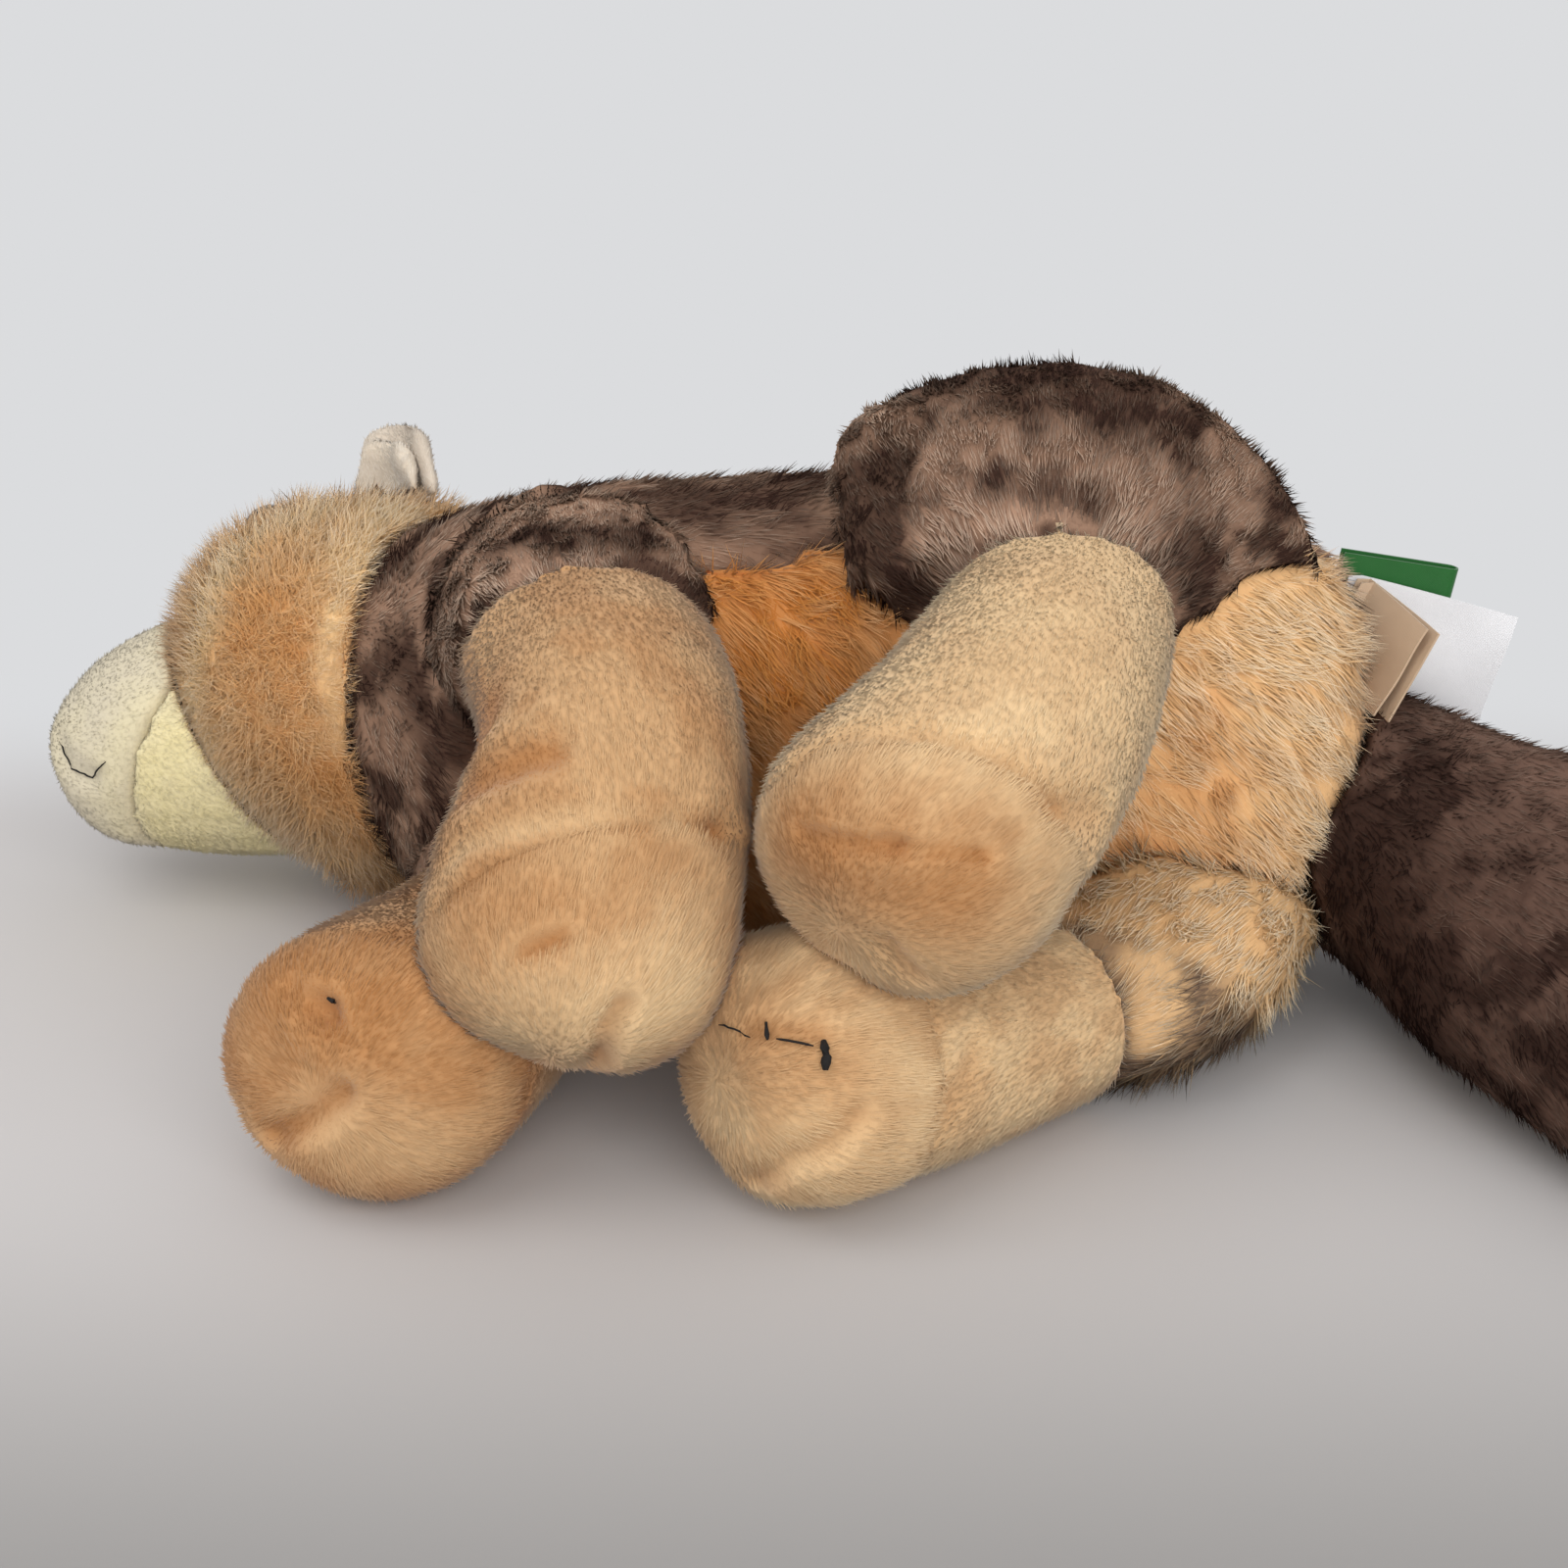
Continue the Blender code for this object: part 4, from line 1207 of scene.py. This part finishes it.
@dataclass
class Head(StuffedPart):
    """The head: face, crown, two ears, and the muzzle in two fleeces with a stitched mouth."""

    jaw: Vector = mm(-156, 42, 40)
    muzzle_edge: tuple[Vector, ...] = line(
        (-130, 30, 84), (-135, 18, 75), (-138, 16, 66), (-140, 19, 55), (-133, 14, 42),
        (-127, 14, 31), (-119, 18, 21),
    )
    fleece_seam: tuple[Vector, ...] = line(
        (-137, 15, 63), (-150, 20, 54), (-155, 20, 48), (-159, 22, 34), (-159, 26, 20)
    )
    mouth: tuple[Vector, ...] = line(
        (-174.3, 30.3, 42), (-170.5, 25.5, 37), (-165, 22.5, 35.6), (-159.5, 20.2, 41)
    )
    cell: float = 3.2 * MM
    muzzle_cell: float = 2.0 * MM
    ear_cell: float = 1.2 * MM
    face_strands: int = 24000
    crown_strands: int = 4500
    muzzle_strands: int = 5000
    ear_strands: int = 1800

    def sections(self) -> tuple[Section, ...]:
        """The face, the crown, the muzzle's two fleeces, then each ear's outside and lining."""
        seam_dye = Patch(self.fleece_seam, 5 * MM, 0.5)
        found = [
            Section(
                ("face",), FACE_FUR, FACE_PILE, self.face_strands,
                Comb((0.9, 0.0, 0.0), self.jaw, strength=0.3),
                DyeAndPaintedLight(0.4, 0.25, 16 * MM, (
                    patch(17, 0.16, (-121, 12, 78), (-108, 8, 76)),
                    patch(7, 0.9, (-137, 22, 80), (-128, 30, 92), (-110, 36, 99)),
                    patch(9, 0.97, (-94, 32, 99), (-97, 14, 91)),
                    patch(4.5, 0.97, (-101, 6, 82), (-103, -1, 70), (-100, -5, 56)),
                    patch(10, 0.3, (-112, 2, 62), (-106, -4, 44)),
                    patch(6, 0.1, (-104, -5, 44), (-100, -5, 36)),
                    patch(12, 0.6, (-115, 8, 28), (-105, 0, 22)),
                    Patch(self.muzzle_edge, 5 * MM, 0.97),
                )),
                cell=self.cell, seed=31,
                creases=(
                    crease(-2.6, 3, (-100, 7, 84), (-102, 3, 79), lip=0.2),
                    crease(-2.6, 3.4, (-103, -2, 71), (-103, -3, 67), lip=0.2),
                    crease(-2.2, 3, (-100, -5, 58), (-97, -6, 55), lip=0.2),
                ),
                trims=(
                    Patch(self.muzzle_edge, 6 * MM, 0.85),
                    patch(4, 0.5, (-101, 6, 82), (-102, -1, 70), (-100, -5, 56)),
                ),
            ),
            Section(
                ("crown",), GREY_FUR, DARK_PILE, self.crown_strands,
                Comb((1.0, 0.0, 0.0)),
                DyeAndPaintedLight(0.5, 0.5, 16 * MM),
                cell=self.cell, seed=32,
            ),
            Section(
                ("muzzle_top",), WHITE_FLEECE, FLEECE_PILE, self.muzzle_strands,
                Comb((1.0, 0.0, 0.15)), DyeAndPaintedLight(0.1, 0.15, 14 * MM, (seam_dye,)),
                cell=self.muzzle_cell, relax=3, seed=33, reach=2 * MM, lump=0.4 * MM,
                creases=(
                    crease(1.8, 2.6, (-174, 30, 42), (-170, 25, 37), (-165, 22, 36)),
                    Crease(self.fleece_seam, -0.5 * MM, 2.4 * MM, 0.0),
                ),
            ),
            Section(
                ("muzzle_chin",), CREAM_FLEECE, FLEECE_PILE, self.muzzle_strands,
                Comb((1.0, 0.0, -0.1)), DyeAndPaintedLight(0.9, 0.15, 14 * MM, (seam_dye,)),
                cell=self.muzzle_cell, relax=3, seed=34, reach=2 * MM, lump=0.4 * MM,
            ),
        ]
        for side, seed, tip, rim in (
            ("left", 35, (-97, 71, 110), ((-104, 80, 103), (-96, 68, 103), (-86, 58, 99))),
            ("right", 37, (-97, 107, 50), ((-104, 96, 52),)),
        ):
            curl = (crease(4, 5, tip, lip=0.3), crease(-1.2, 4, *rim, lip=0.0))
            found += [
                Section(
                    (f"ear_{side}_outer",), EAR_FUR, FLEECE_PILE, self.ear_strands,
                    Comb((0.0, 0.6, 0.6)), DyeAndPaintedLight(0.3, 0.4, 12 * MM, (patch(14, 0.95, *rim),)),
                    cell=self.ear_cell, relax=14, seed=seed, reach=1.6 * MM, lump=0.5 * MM,
                    creases=curl,
                ),
                Section(
                    (f"ear_{side}_lining",), EAR_FLEECE, FLEECE_PILE, self.ear_strands,
                    Comb((0.0, 0.6, 0.6)), DyeAndPaintedLight(0.7, 0.3, 6 * MM),
                    cell=self.ear_cell, relax=8, seed=seed + 1, reach=1.6 * MM, lump=0.4 * MM,
                    creases=curl,
                ),
            ]
        return tuple(found)

    def threads(self) -> dict[str, Stitch]:
        """The mouth's one line."""
        return {"mouth_thread": Stitch(self.mouth, 0.45 * MM, 0.8 * MM)}


class Top(Enum):
    """What a leg's furry top is called: on a front leg, and on a hind leg."""

    SHOULDER = "shoulder"
    THIGH = "thigh"


@dataclass
class Leg(StuffedPart):
    """One leg: its top in grey plush, and the leg and paw in short beige plush.

    The leg and the sole are one skin, because the seam between them only dimples the plush.
    """

    name: str
    top: Top
    top_strands: int
    leg_strands: int
    root: Vector
    cuff: Vector
    knee: Vector
    paw: Vector
    seam_way: Vector
    seam_back: float
    seed: int
    top_dye: DyeAndPaintedLight
    plush_dye_and_painted_light: DyeAndPaintedLight
    creases: tuple[Crease, ...] = ()
    stitches: tuple[tuple, ...] = ()
    top_creases: tuple[Crease, ...] = ()
    top_trims: tuple[Patch, ...] = ()
    top_finish: FurFinish = GREY_FUR
    top_pile: Pile = DARK_PILE
    paw_round: float = 20 * MM
    fur_over: float = 10 * MM
    top_cell: float = 3.2 * MM
    leg_cell: float = 1.9 * MM
    tuck_at: float = 2 * MM
    tuck_deep: float = 5 * MM
    tuck_wide: float = 8 * MM

    def sections(self) -> tuple[Section, ...]:
        """The leg's top, then the leg with its sole."""
        out = (self.cuff - self.root).normalized()
        down = (self.knee - self.cuff).normalized()
        way = self.seam_way.normalized()
        ankle = self.paw - way * self.seam_back
        tip = self.paw + (self.paw - self.knee).normalized() * self.paw_round
        top = self.name + "_" + self.top.value
        tuck = Tuck(self.cuff + out * self.tuck_at, out, self.tuck_deep, self.tuck_wide)
        return (
            Section(
                (top,), self.top_finish, self.top_pile, self.top_strands,
                Comb(tuple(out), self.cuff + out * self.fur_over, -1.5), self.top_dye,
                cell=self.top_cell, seed=self.seed, creases=self.top_creases, trims=self.top_trims,
            ),
            Section(
                (self.name + "_leg", self.name + "_sole"), LEG_PLUSH, SHORT_PILE, self.leg_strands,
                PawComb(tuple(down), tip, ankle=ankle, seam_way=way), self.plush_dye_and_painted_light,
                cell=self.leg_cell, relax=5, seed=self.seed + 1,
                creases=(SeamPlane(ankle, way, 1.2 * MM, 2.0 * MM), *self.creases),
                open_to=(top,), tucks=(tuck,),
            ),
        )

    def threads(self) -> dict[str, Stitch]:
        """The stray threads on the paw, whose rows are in millimetres."""
        return {
            f"{self.name}_thread_{name}": Stitch(line(*corners), thick * MM, proud * MM)
            for name, thick, proud, *corners in self.stitches
        }


LEGS = (
    Leg(
        "hind_right", Top.THIGH, 6000, 17000,
        mm(76, 2, 26), mm(60, -61, 21), mm(38, -79, 21), mm(1, -103, 27),
        Vector((-0.86, -0.5, 0.1)), 18 * MM, 41,
        DyeAndPaintedLight(0.12, 0.3, 8 * MM, (
            patch(5, 0.3, (86, -78, 24), (84, -80, 15)),
            patch(16, 1.0, (68, -50, 46), (82, -56, 42), (96, -57, 34), (108, -49, 26), edge=7.0),
            patch(15, 1.0, (62, -36, 46), (84, -38, 47), (102, -36, 38), (112, -30, 26), edge=5.0),
            patch(7, 0.8, (73, -74, 38), (76, -79, 30), (74, -83, 22), edge=5.0),
        )),
        DyeAndPaintedLight(0.75, 0.3, 16 * MM, (
            patch(12, 0.3, (-4, -118, 40), (8, -126, 38)),
            patch(9, 0.75, (9, -127, 22), (30, -118, 12)),
        )),
        (
            crease(1.6, 2.4, (-8, -116, 42), (6, -122, 45)),
            crease(2.2, 2.6, (-7, -119, 11), (0, -127, 21), (9, -130, 26), (13, -129, 31)),
            crease(1.2, 2.6, (27, -120, 18), (34, -116, 28), (37, -109, 36)),
        ),
        (
            ("line", 0.4, 1.3, (-12, -112, 41), (-6.8, -117, 41.6)),
            ("stitch", 1.0, 1.3, (-3.9, -117.9, 44.3), (-3.3, -119.6, 42.4)),
            ("run", 0.5, 1.2, (-1.8, -120.2, 43.1), (5.3, -123, 42.6)),
            ("knot", 1.9, 1.2, (6.9, -122.5, 43.4), (7.6, -124.6, 41.4), (7.4, -125.8, 39)),
        ),
        top_trims=(
            patch(6, 0.5, (73, -74, 38), (76, -79, 30), (74, -83, 22)),
        ),
        top_creases=(
            crease(-4, 10, (72, -46, 46), (88, -50, 43), (104, -46, 36), lip=0.0),
        ),
        top_finish=RUMP_FUR,
        top_pile=BELLY_PILE,
    ),
    Leg(
        "front_right", Top.SHOULDER, 3000, 16000,
        mm(-50, 2, 30), mm(-57, -36, 25), mm(-66, -68, 24), mm(-80, -103, 27),
        Vector((-0.35, -0.93, -0.1)), 10 * MM, 44,
        DyeAndPaintedLight(0.3, 0.4, 18 * MM),
        # Darker than the other legs: partly the plush's own tone, partly painted shade where the front
        # left leg shades this paw.
        DyeAndPaintedLight(0.22, 0.2, 16 * MM, (
            patch(16, 0.04, (-93, -106, 46), (-80, -117, 44)),
            patch(10, 0.5, (-84, -122, 24), (-66, -122, 18)),
        )),
        (
            crease(4.0, 3.0, (-84.7, -115.2, 45.5)),
            crease(2.2, 2.4, (-91.6, -109.6, 47), (-84.7, -115.2, 45.5), (-80.8, -118.8, 41.6)),
            crease(3.0, 2.6, (-97, -113, 17), (-86, -120, 26), (-81, -121, 31)),
        ),
        (
            ("dot", 1.0, 0.6, (-84.9, -115.0, 45.6), (-84.6, -115.3, 45.4)),
        ),
    ),
    Leg(
        "front_left", Top.SHOULDER, 9000, 20000,
        mm(-42, 2, 83), mm(-39, -37, 87), mm(-33, -75, 80), mm(-40, -105, 48),
        Vector((0.27, -0.79, -0.55)), 11 * MM, 47,
        DyeAndPaintedLight(0.34, 0.85, 12 * MM, (
            patch(8, 0.95, (-59, -4, 112), (-41, -21, 114)),
            patch(7, 0.8, (-65, -30, 105), (-71, -17, 104)),
            patch(5, 0.06, (-61, -25, 109), (-48, -27, 113), (-30, -30, 110)),
            patch(6, 0.6, (-76, -28, 86), (-74, -34, 76)),
            patch(4, 0.85, (-69, -36, 97), (-66, -34, 103), (-55, -39, 107), (-42, -40, 109)),
        )),
        DyeAndPaintedLight(0.36, 0.2, 18 * MM, (
            # Painted highlight: a pale streak along the ankle seam, where the parted pile catches the
            # light.
            patch(2.2, 0.9, (-61, -106, 73), (-47, -111, 81), (-35, -111, 83), (-18, -106, 80)),
            # Painted sheen and shade of the nap: darker on the sole just past the seam, paler low on
            # the paw.
            patch(9, 0.2, (-55, -118, 66), (-42, -122, 70)),
            patch(12, 0.95, (-31, -128, 46), (-16, -122, 52)),
            patch(11, 0.85, (-47, -124, 42), (-36, -128, 40)),
        )),
        (
            crease(
                1.4, 2.0, (-61, -106, 73), (-47, -111, 81), (-35, -111, 83), (-26, -110, 82),
                (-18, -106, 80), (-9, -99, 74),
            ),
            crease(2.8, 2.0, (-46, -127, 62.5), (-39, -127, 66), lip=0.25),
            crease(
                3.8, 2.4, (-37, -112, 27), (-35.5, -116, 31), (-31, -127.6, 46.5), (-28, -128, 52),
                lip=0.25,
            ),
            crease(3.0, 4, (-68, -88, 78), (-60, -94, 83), (-50, -98, 88), (-43, -99, 91), lip=0.3),
            crease(3.5, 11, (-62, -76, 88), lip=0.0),
            crease(-6, 12, (-67, -37, 101), (-71, -43, 88), lip=0.0),
            crease(2.4, 4, (-9, -99, 74), lip=0.2),
        ),
        top_trims=(
            patch(
                5, 1.7, (-70, -38, 93), (-66, -34, 103), (-55, -39, 107), (-43, -41, 109),
                (-31, -46, 108),
            ),
        ),
    ),
    Leg(
        "hind_left", Top.THIGH, 14500, 19500,
        mm(62, 6, 93), mm(57, -32, 94), mm(43, -78, 86), mm(19, -107, 70),
        Vector((-0.23, -0.90, -0.37)), 5 * MM, 50,
        DyeAndPaintedLight(0.3, 0.85, 10 * MM, (
            patch(4, 0.85, (14, -2, 117), (12, -16, 110)),
            patch(7, 0.8, (30, -21, 122), (41, -14, 130)),
            patch(7, 0.75, (56, -24, 129), (70, -27, 125), (80, -28, 119)),
            patch(4.5, 0.85, (32, -32, 114), (40, -33, 118), (63, -34, 120), (78, -33, 114)),
            patch(13, 0.05, (34, 8, 132), (52, 4, 137), (72, -7, 135)),
            patch(6, 0.08, (20, -16, 116), (21, -27, 107)),
            patch(4, 0.12, (52, -30, 124), (63, -33, 119)),
            patch(8, 0.1, (85, -32, 108), (89, -32, 96)),
            patch(6, 0.9, (21, 6, 123), (26, -2, 125)),
            patch(8, 0.7, (99, -13, 122), (94, -18, 121)),
        )),
        DyeAndPaintedLight(0.92, 0.2, 20 * MM, (
            # Painted highlight: a pale streak along the ankle seam, where the parted pile catches the
            # light.
            patch(
                2.4, 0.95, (-6, -105, 76), (-3, -107, 87), (9, -107, 97), (26, -113, 100),
                (41, -116, 94),
            ),
            # Painted shade of the nap: darker orange-brown over the sole's centre.
            patch(17, 0.04, (3, -120, 80), (28, -128, 76)),
            patch(8, 0.6, (22, -125, 58), (36, -122, 62)),
        )),
        (
            crease(
                1.3, 2.0, (-6, -105, 76), (-3, -107, 87), (9, -107, 97), (26, -113, 100),
                (41, -116, 94), (51, -116, 85),
            ),
            crease(2.6, 1.7, (1, -118, 81), (10, -126, 83), (18, -129, 84), (35, -129, 82)),
            crease(2.2, 1.8, (17, -129, 84), (19, -129, 84)),
            crease(1.8, 3, (17, -127, 62), (22, -125, 55)),
            crease(3.0, 4, (51, -116, 86), (56, -108, 80), lip=0.2),
        ),
        top_creases=(
            crease(-9, 12, (20, 0, 118), (16, -14, 112), (18, -24, 106), lip=0.0),
            crease(-4, 22, (34, 8, 132), (52, 4, 137), (72, -7, 135), lip=0.0),
            crease(5, 3.6, (27, -9, 124), (24, -16, 117), (23, -27, 108)),
        ),
        top_trims=(
            patch(6, 1.5, (20, 8, 122), (25, 0, 125)),
            patch(
                5, 1.7, (29, -34, 104), (32, -34, 112), (47, -35, 118), (63, -35, 119),
                (80, -33, 113), (86, -34, 100),
            ),
        ),
    ),
)


@dataclass(frozen=True)
class Tape:
    """One strip of woven tape, sewn into the seam over the tail by one end or by both."""

    name: str
    finish: SatinFinish
    long: float
    wide: float
    droop: float
    out: float = 0.0
    layer: int = 0
    drop: float = 0.0


@dataclass(frozen=True)
class Labels:
    """The ribbon loop, the item label and the two care labels, all bare."""

    seam: Vector = mm(126.9, 12, 79)
    thick: float = 0.5 * MM
    step: float = 2.4 * MM
    curl: float = 170 * MM
    hidden: float = 3 * MM
    open: float = 3.4 * MM
    ripple: float = 0.5 * MM
    waves_across: float = 7
    waves_along: float = 150
    cells_long: int = 24
    cells_wide: int = 16
    loop_cells: int = 12
    turn_cells: int = 8
    item: Tape = Tape("item_label", WHITE_SATIN, 36 * MM, 26 * MM, radians(14), drop=2.5 * MM)
    back: Tape = Tape(
        "care_label_back", CREAM_SATIN, 29 * MM, 22 * MM, radians(24), radians(66), -1
    )
    front: Tape = Tape(
        "care_label_front", CREAM_SATIN, 25 * MM, 22 * MM, radians(26), radians(70), -2
    )
    ribbon: Tape = Tape("ribbon_loop", GREEN_RIBBON, 23.5 * MM, 29 * MM, radians(9))

    def build(self) -> None:
        """Make and dress all four."""
        for tape in (self.item, self.back, self.front):
            self.strip(tape)
        self.loop(self.ribbon)

    def strip(self, tape: Tape) -> None:
        """Make one label, which curls and ripples a little as it hangs.

        Args:
            tape: The label.
        """
        droop, out = tape.droop, tape.out
        way = Vector((cos(droop) * cos(out), -sin(out), -sin(droop) * cos(out))).normalized()
        across = Vector((0, -1, 0)).cross(way).normalized()
        normal = way.cross(across)
        start = self.seam + Vector((0, self.step * tape.layer, -tape.drop))
        path = [start - Vector((self.hidden, 0, 0))]
        for index in range(self.cells_long + 1):
            reach = tape.long * index / self.cells_long
            path.append(start + way * reach + normal * reach**2 / (2 * self.curl))
        self.woven(tape, path, across, normal, tape.long + self.hidden)

    def loop(self, tape: Tape) -> None:
        """Make the ribbon, folded back on itself.

        Args:
            tape: The ribbon.
        """
        way = Vector((cos(tape.droop), 0, -sin(tape.droop)))
        across = Vector((0, -1, 0)).cross(way).normalized()
        away = Vector((0, 1, 0))
        half = self.open / 2
        middle = self.seam + away * (self.step + half)
        straight = tape.long - half
        cells = self.loop_cells
        near = [middle - away * half + way * (straight * at / cells) for at in range(cells + 1)]
        near.insert(0, near[0] - way * self.hidden)
        bend = near[-1] + away * half
        turn = []
        for index in range(1, self.turn_cells):
            angle = pi * index / self.turn_cells
            turn.append(bend - away * half * cos(angle) + way * half * sin(angle))
        far = [point + away * self.open for point in reversed(near)]
        long = 2 * (straight + self.hidden) + pi * half
        self.woven(tape, [*near, *turn, *far], across, None, long)

    def woven(
        self, tape: Tape, path: list[Vector], across: Vector, normal: Vector | None, long: float
    ) -> None:
        """Make a tape's sheet along a path, map it in metres, thicken and dress it.

        Args:
            tape: The tape.
            path: Its centreline.
            across: The way of its width.
            normal: The way it ripples, or nothing where it is folded.
            long: Its cut length.
        """
        work = bmesh.new()
        place = work.loops.layers.uv.new("Tape")
        rows, reach = [], 0.0
        for index, at in enumerate(path):
            reach += (at - path[index - 1]).length if index else 0.0
            row = []
            for cell in range(self.cells_wide + 1):
                side = cell / self.cells_wide - 0.5
                ripple = Vector((0, 0, 0))
                if normal is not None:
                    free = (reach / long) ** 2
                    phase = side * self.waves_across + tape.layer * 2
                    wave = sin(phase) * cos(reach * self.waves_along)
                    ripple = normal * self.ripple * free * wave
                corner = work.verts.new(at + across * tape.wide * side + ripple)
                row.append((corner, (side * tape.wide, reach)))
            rows.append(row)
        for near, far in zip(rows, rows[1:]):
            for cell in range(self.cells_wide):
                corners = (near[cell], far[cell], far[cell + 1], near[cell + 1])
                made = work.faces.new([corner[0] for corner in corners])
                for loop, corner in zip(made.loops, corners):
                    loop[place].uv = corner[1]
        sheet = placed(tape.name + "_tape", finished(work, tape.name + "_tape"))
        shell = sheet.modifiers.new("thickness", "SOLIDIFY")
        shell.thickness = self.thick
        shell.offset = 0
        plain_mesh(sheet)
        sheet.data.shade_smooth()
        sheet.data.set_sharp_from_angle(angle=radians(50))
        sheet.data.materials.append(tape.finish.cloth())
        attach(sheet, BODY)
        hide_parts(tape.name)
        LOG.info("%s: tape of %d faces", tape.name, len(sheet.data.polygons))


@dataclass(frozen=True)
class Studio:
    """The pale table that runs up into a pale wall, the soft lamps and the camera."""

    reach: float = 16.0
    table: str = "#C8C5C4"
    # The board's colour at the front: painted shade, darker towards the camera.
    near: str = "#8B8987"
    wall: str = "#DBDCDE"
    sky: str = "#FBFBFC"
    sky_strength: float = 0.72
    rise: float = VIEW_RISE
    distance: float = 0.54
    target: Vector = mm(0, 0, 43.4)
    lit: Vector = mm(0, 0, 40)
    film: float = 36
    lens: float = 36 * 2424 / 1600

    def build(self) -> None:
        """Set up the table, the lamps, the world and the camera."""
        self.floor()
        self.lamps()
        self.camera()
        bpy.context.scene.view_settings.view_transform = "Standard"

    def floor(self) -> None:
        """A matt painted board, paler towards the wall, with painted shade that darkens it towards the
        front.
        """
        mesh = bpy.data.meshes.new("table")
        half = self.reach / 2
        corners = [(-half, -half, 0), (half, -half, 0), (half, half, 0), (-half, half, 0)]
        mesh.from_pydata(corners, [], [(0, 1, 2, 3)])
        material, shader = blank("matt_painted_board", Roughness=0.8, Specular_IOR_Level=0.2)
        tree = material.node_tree
        place = add(tree, "ShaderNodeTexCoord", {}).outputs["Object"]
        depth = add(tree, "ShaderNodeSeparateXYZ", {0: place}).outputs["Y"]
        far = add(tree, "ShaderNodeVectorMath", {0: place}, operation="LENGTH")
        back, front, edge = (
            add(
                tree, "ShaderNodeMapRange", {0: run, 1: start, 2: end},
                interpolation_type="SMOOTHSTEP",
            )
            for run, start, end in ((depth, 0.07, 0.2), (depth, -0.08, -0.26), (far, 0.4, 0.7))
        )
        ends = {6: linear(self.table), 7: linear(self.near)}
        # Painted shade: the board darkens towards the front.
        board = add(tree, "ShaderNodeMix", {0: front, **ends}, data_type="RGBA")
        ends = {6: board, 7: linear(self.wall)}
        colour = add(tree, "ShaderNodeMix", {0: back, **ends}, data_type="RGBA")
        feed(tree, shader, {"Base Color": colour})
        beyond = add(tree, "ShaderNodeMath", {0: back, 1: edge}, operation="MAXIMUM")
        seen = add(tree, "ShaderNodeLightPath", {}).outputs["Is Camera Ray"]
        wall = add(tree, "ShaderNodeMath", {0: beyond, 1: seen}, operation="MULTIPLY")
        glow = add(tree, "ShaderNodeEmission", {"Color": linear(self.wall), "Strength": 1.0})
        both = add(tree, "ShaderNodeMixShader", {0: wall, 1: shader, 2: glow})
        feed(tree, tree.nodes["Material Output"], {"Surface": both})
        mesh.materials.append(material)
        placed("table", mesh)

    def lamps(self) -> None:
        """One wide soft lamp over the left shoulder, one low fill, and an even pale sky."""
        for name, place, size, power in (
            ("key", Vector((-0.6, -0.5, 1.1)), 1.0, 4.6),
            ("window", Vector((0.3, -1.3, 0.6)), 1.3, 14.0),
        ):
            light = bpy.data.lights.new(name, "AREA")
            light.size = size
            light.energy = power
            lamp = placed(name, light)
            lamp.location = place
            lamp.visible_camera = False
            lamp.rotation_euler = (self.lit - place).to_track_quat("-Z", "Y").to_euler()
        world = bpy.data.worlds.new("even_sky")
        world.use_nodes = True
        sky = {"Color": linear(self.sky), "Strength": self.sky_strength}
        feed(world.node_tree, world.node_tree.nodes["Background"], sky)
        bpy.context.scene.world = world

    def camera(self) -> None:
        """The photograph's own view."""
        lens = bpy.data.cameras.new("camera")
        lens.sensor_width = self.film
        lens.lens = self.lens
        lens.clip_start = 0.01
        camera = placed("camera", lens)
        back = Vector((0, -cos(self.rise) * self.distance, sin(self.rise) * self.distance))
        camera.location = self.target + back
        camera.rotation_euler = (pi / 2 - self.rise, 0, 0)
        bpy.context.scene.camera = camera


def main() -> None:
    """Build and dress the wolf, then its studio."""
    logging.basicConfig(level=logging.INFO, format="%(message)s")
    solids = Solids(frame["nodes"])
    tree = fur_tree()
    strands = {
        pile.name: pile.template()
        for pile in (DARK_PILE, FACE_PILE, BELLY_PILE, SHORT_PILE, FLEECE_PILE)
    }
    for part in (Trunk(), Tail(), Head(), *LEGS):
        part.build(solids)
        part.dress(tree, strands)
        part.sew()
    for strand in strands.values():
        bpy.data.objects.remove(strand)
    for name in ("nose", "eye_left", "eye_right"):
        button = frame["nodes"][name]
        button.data.materials.clear()
        button.data.materials.append(BLACK_PLASTIC.plastic())
        LOG.info("%s: gloss plastic", name)
    Labels().build()
    Studio().build()


if __name__ == "__main__":
    main()
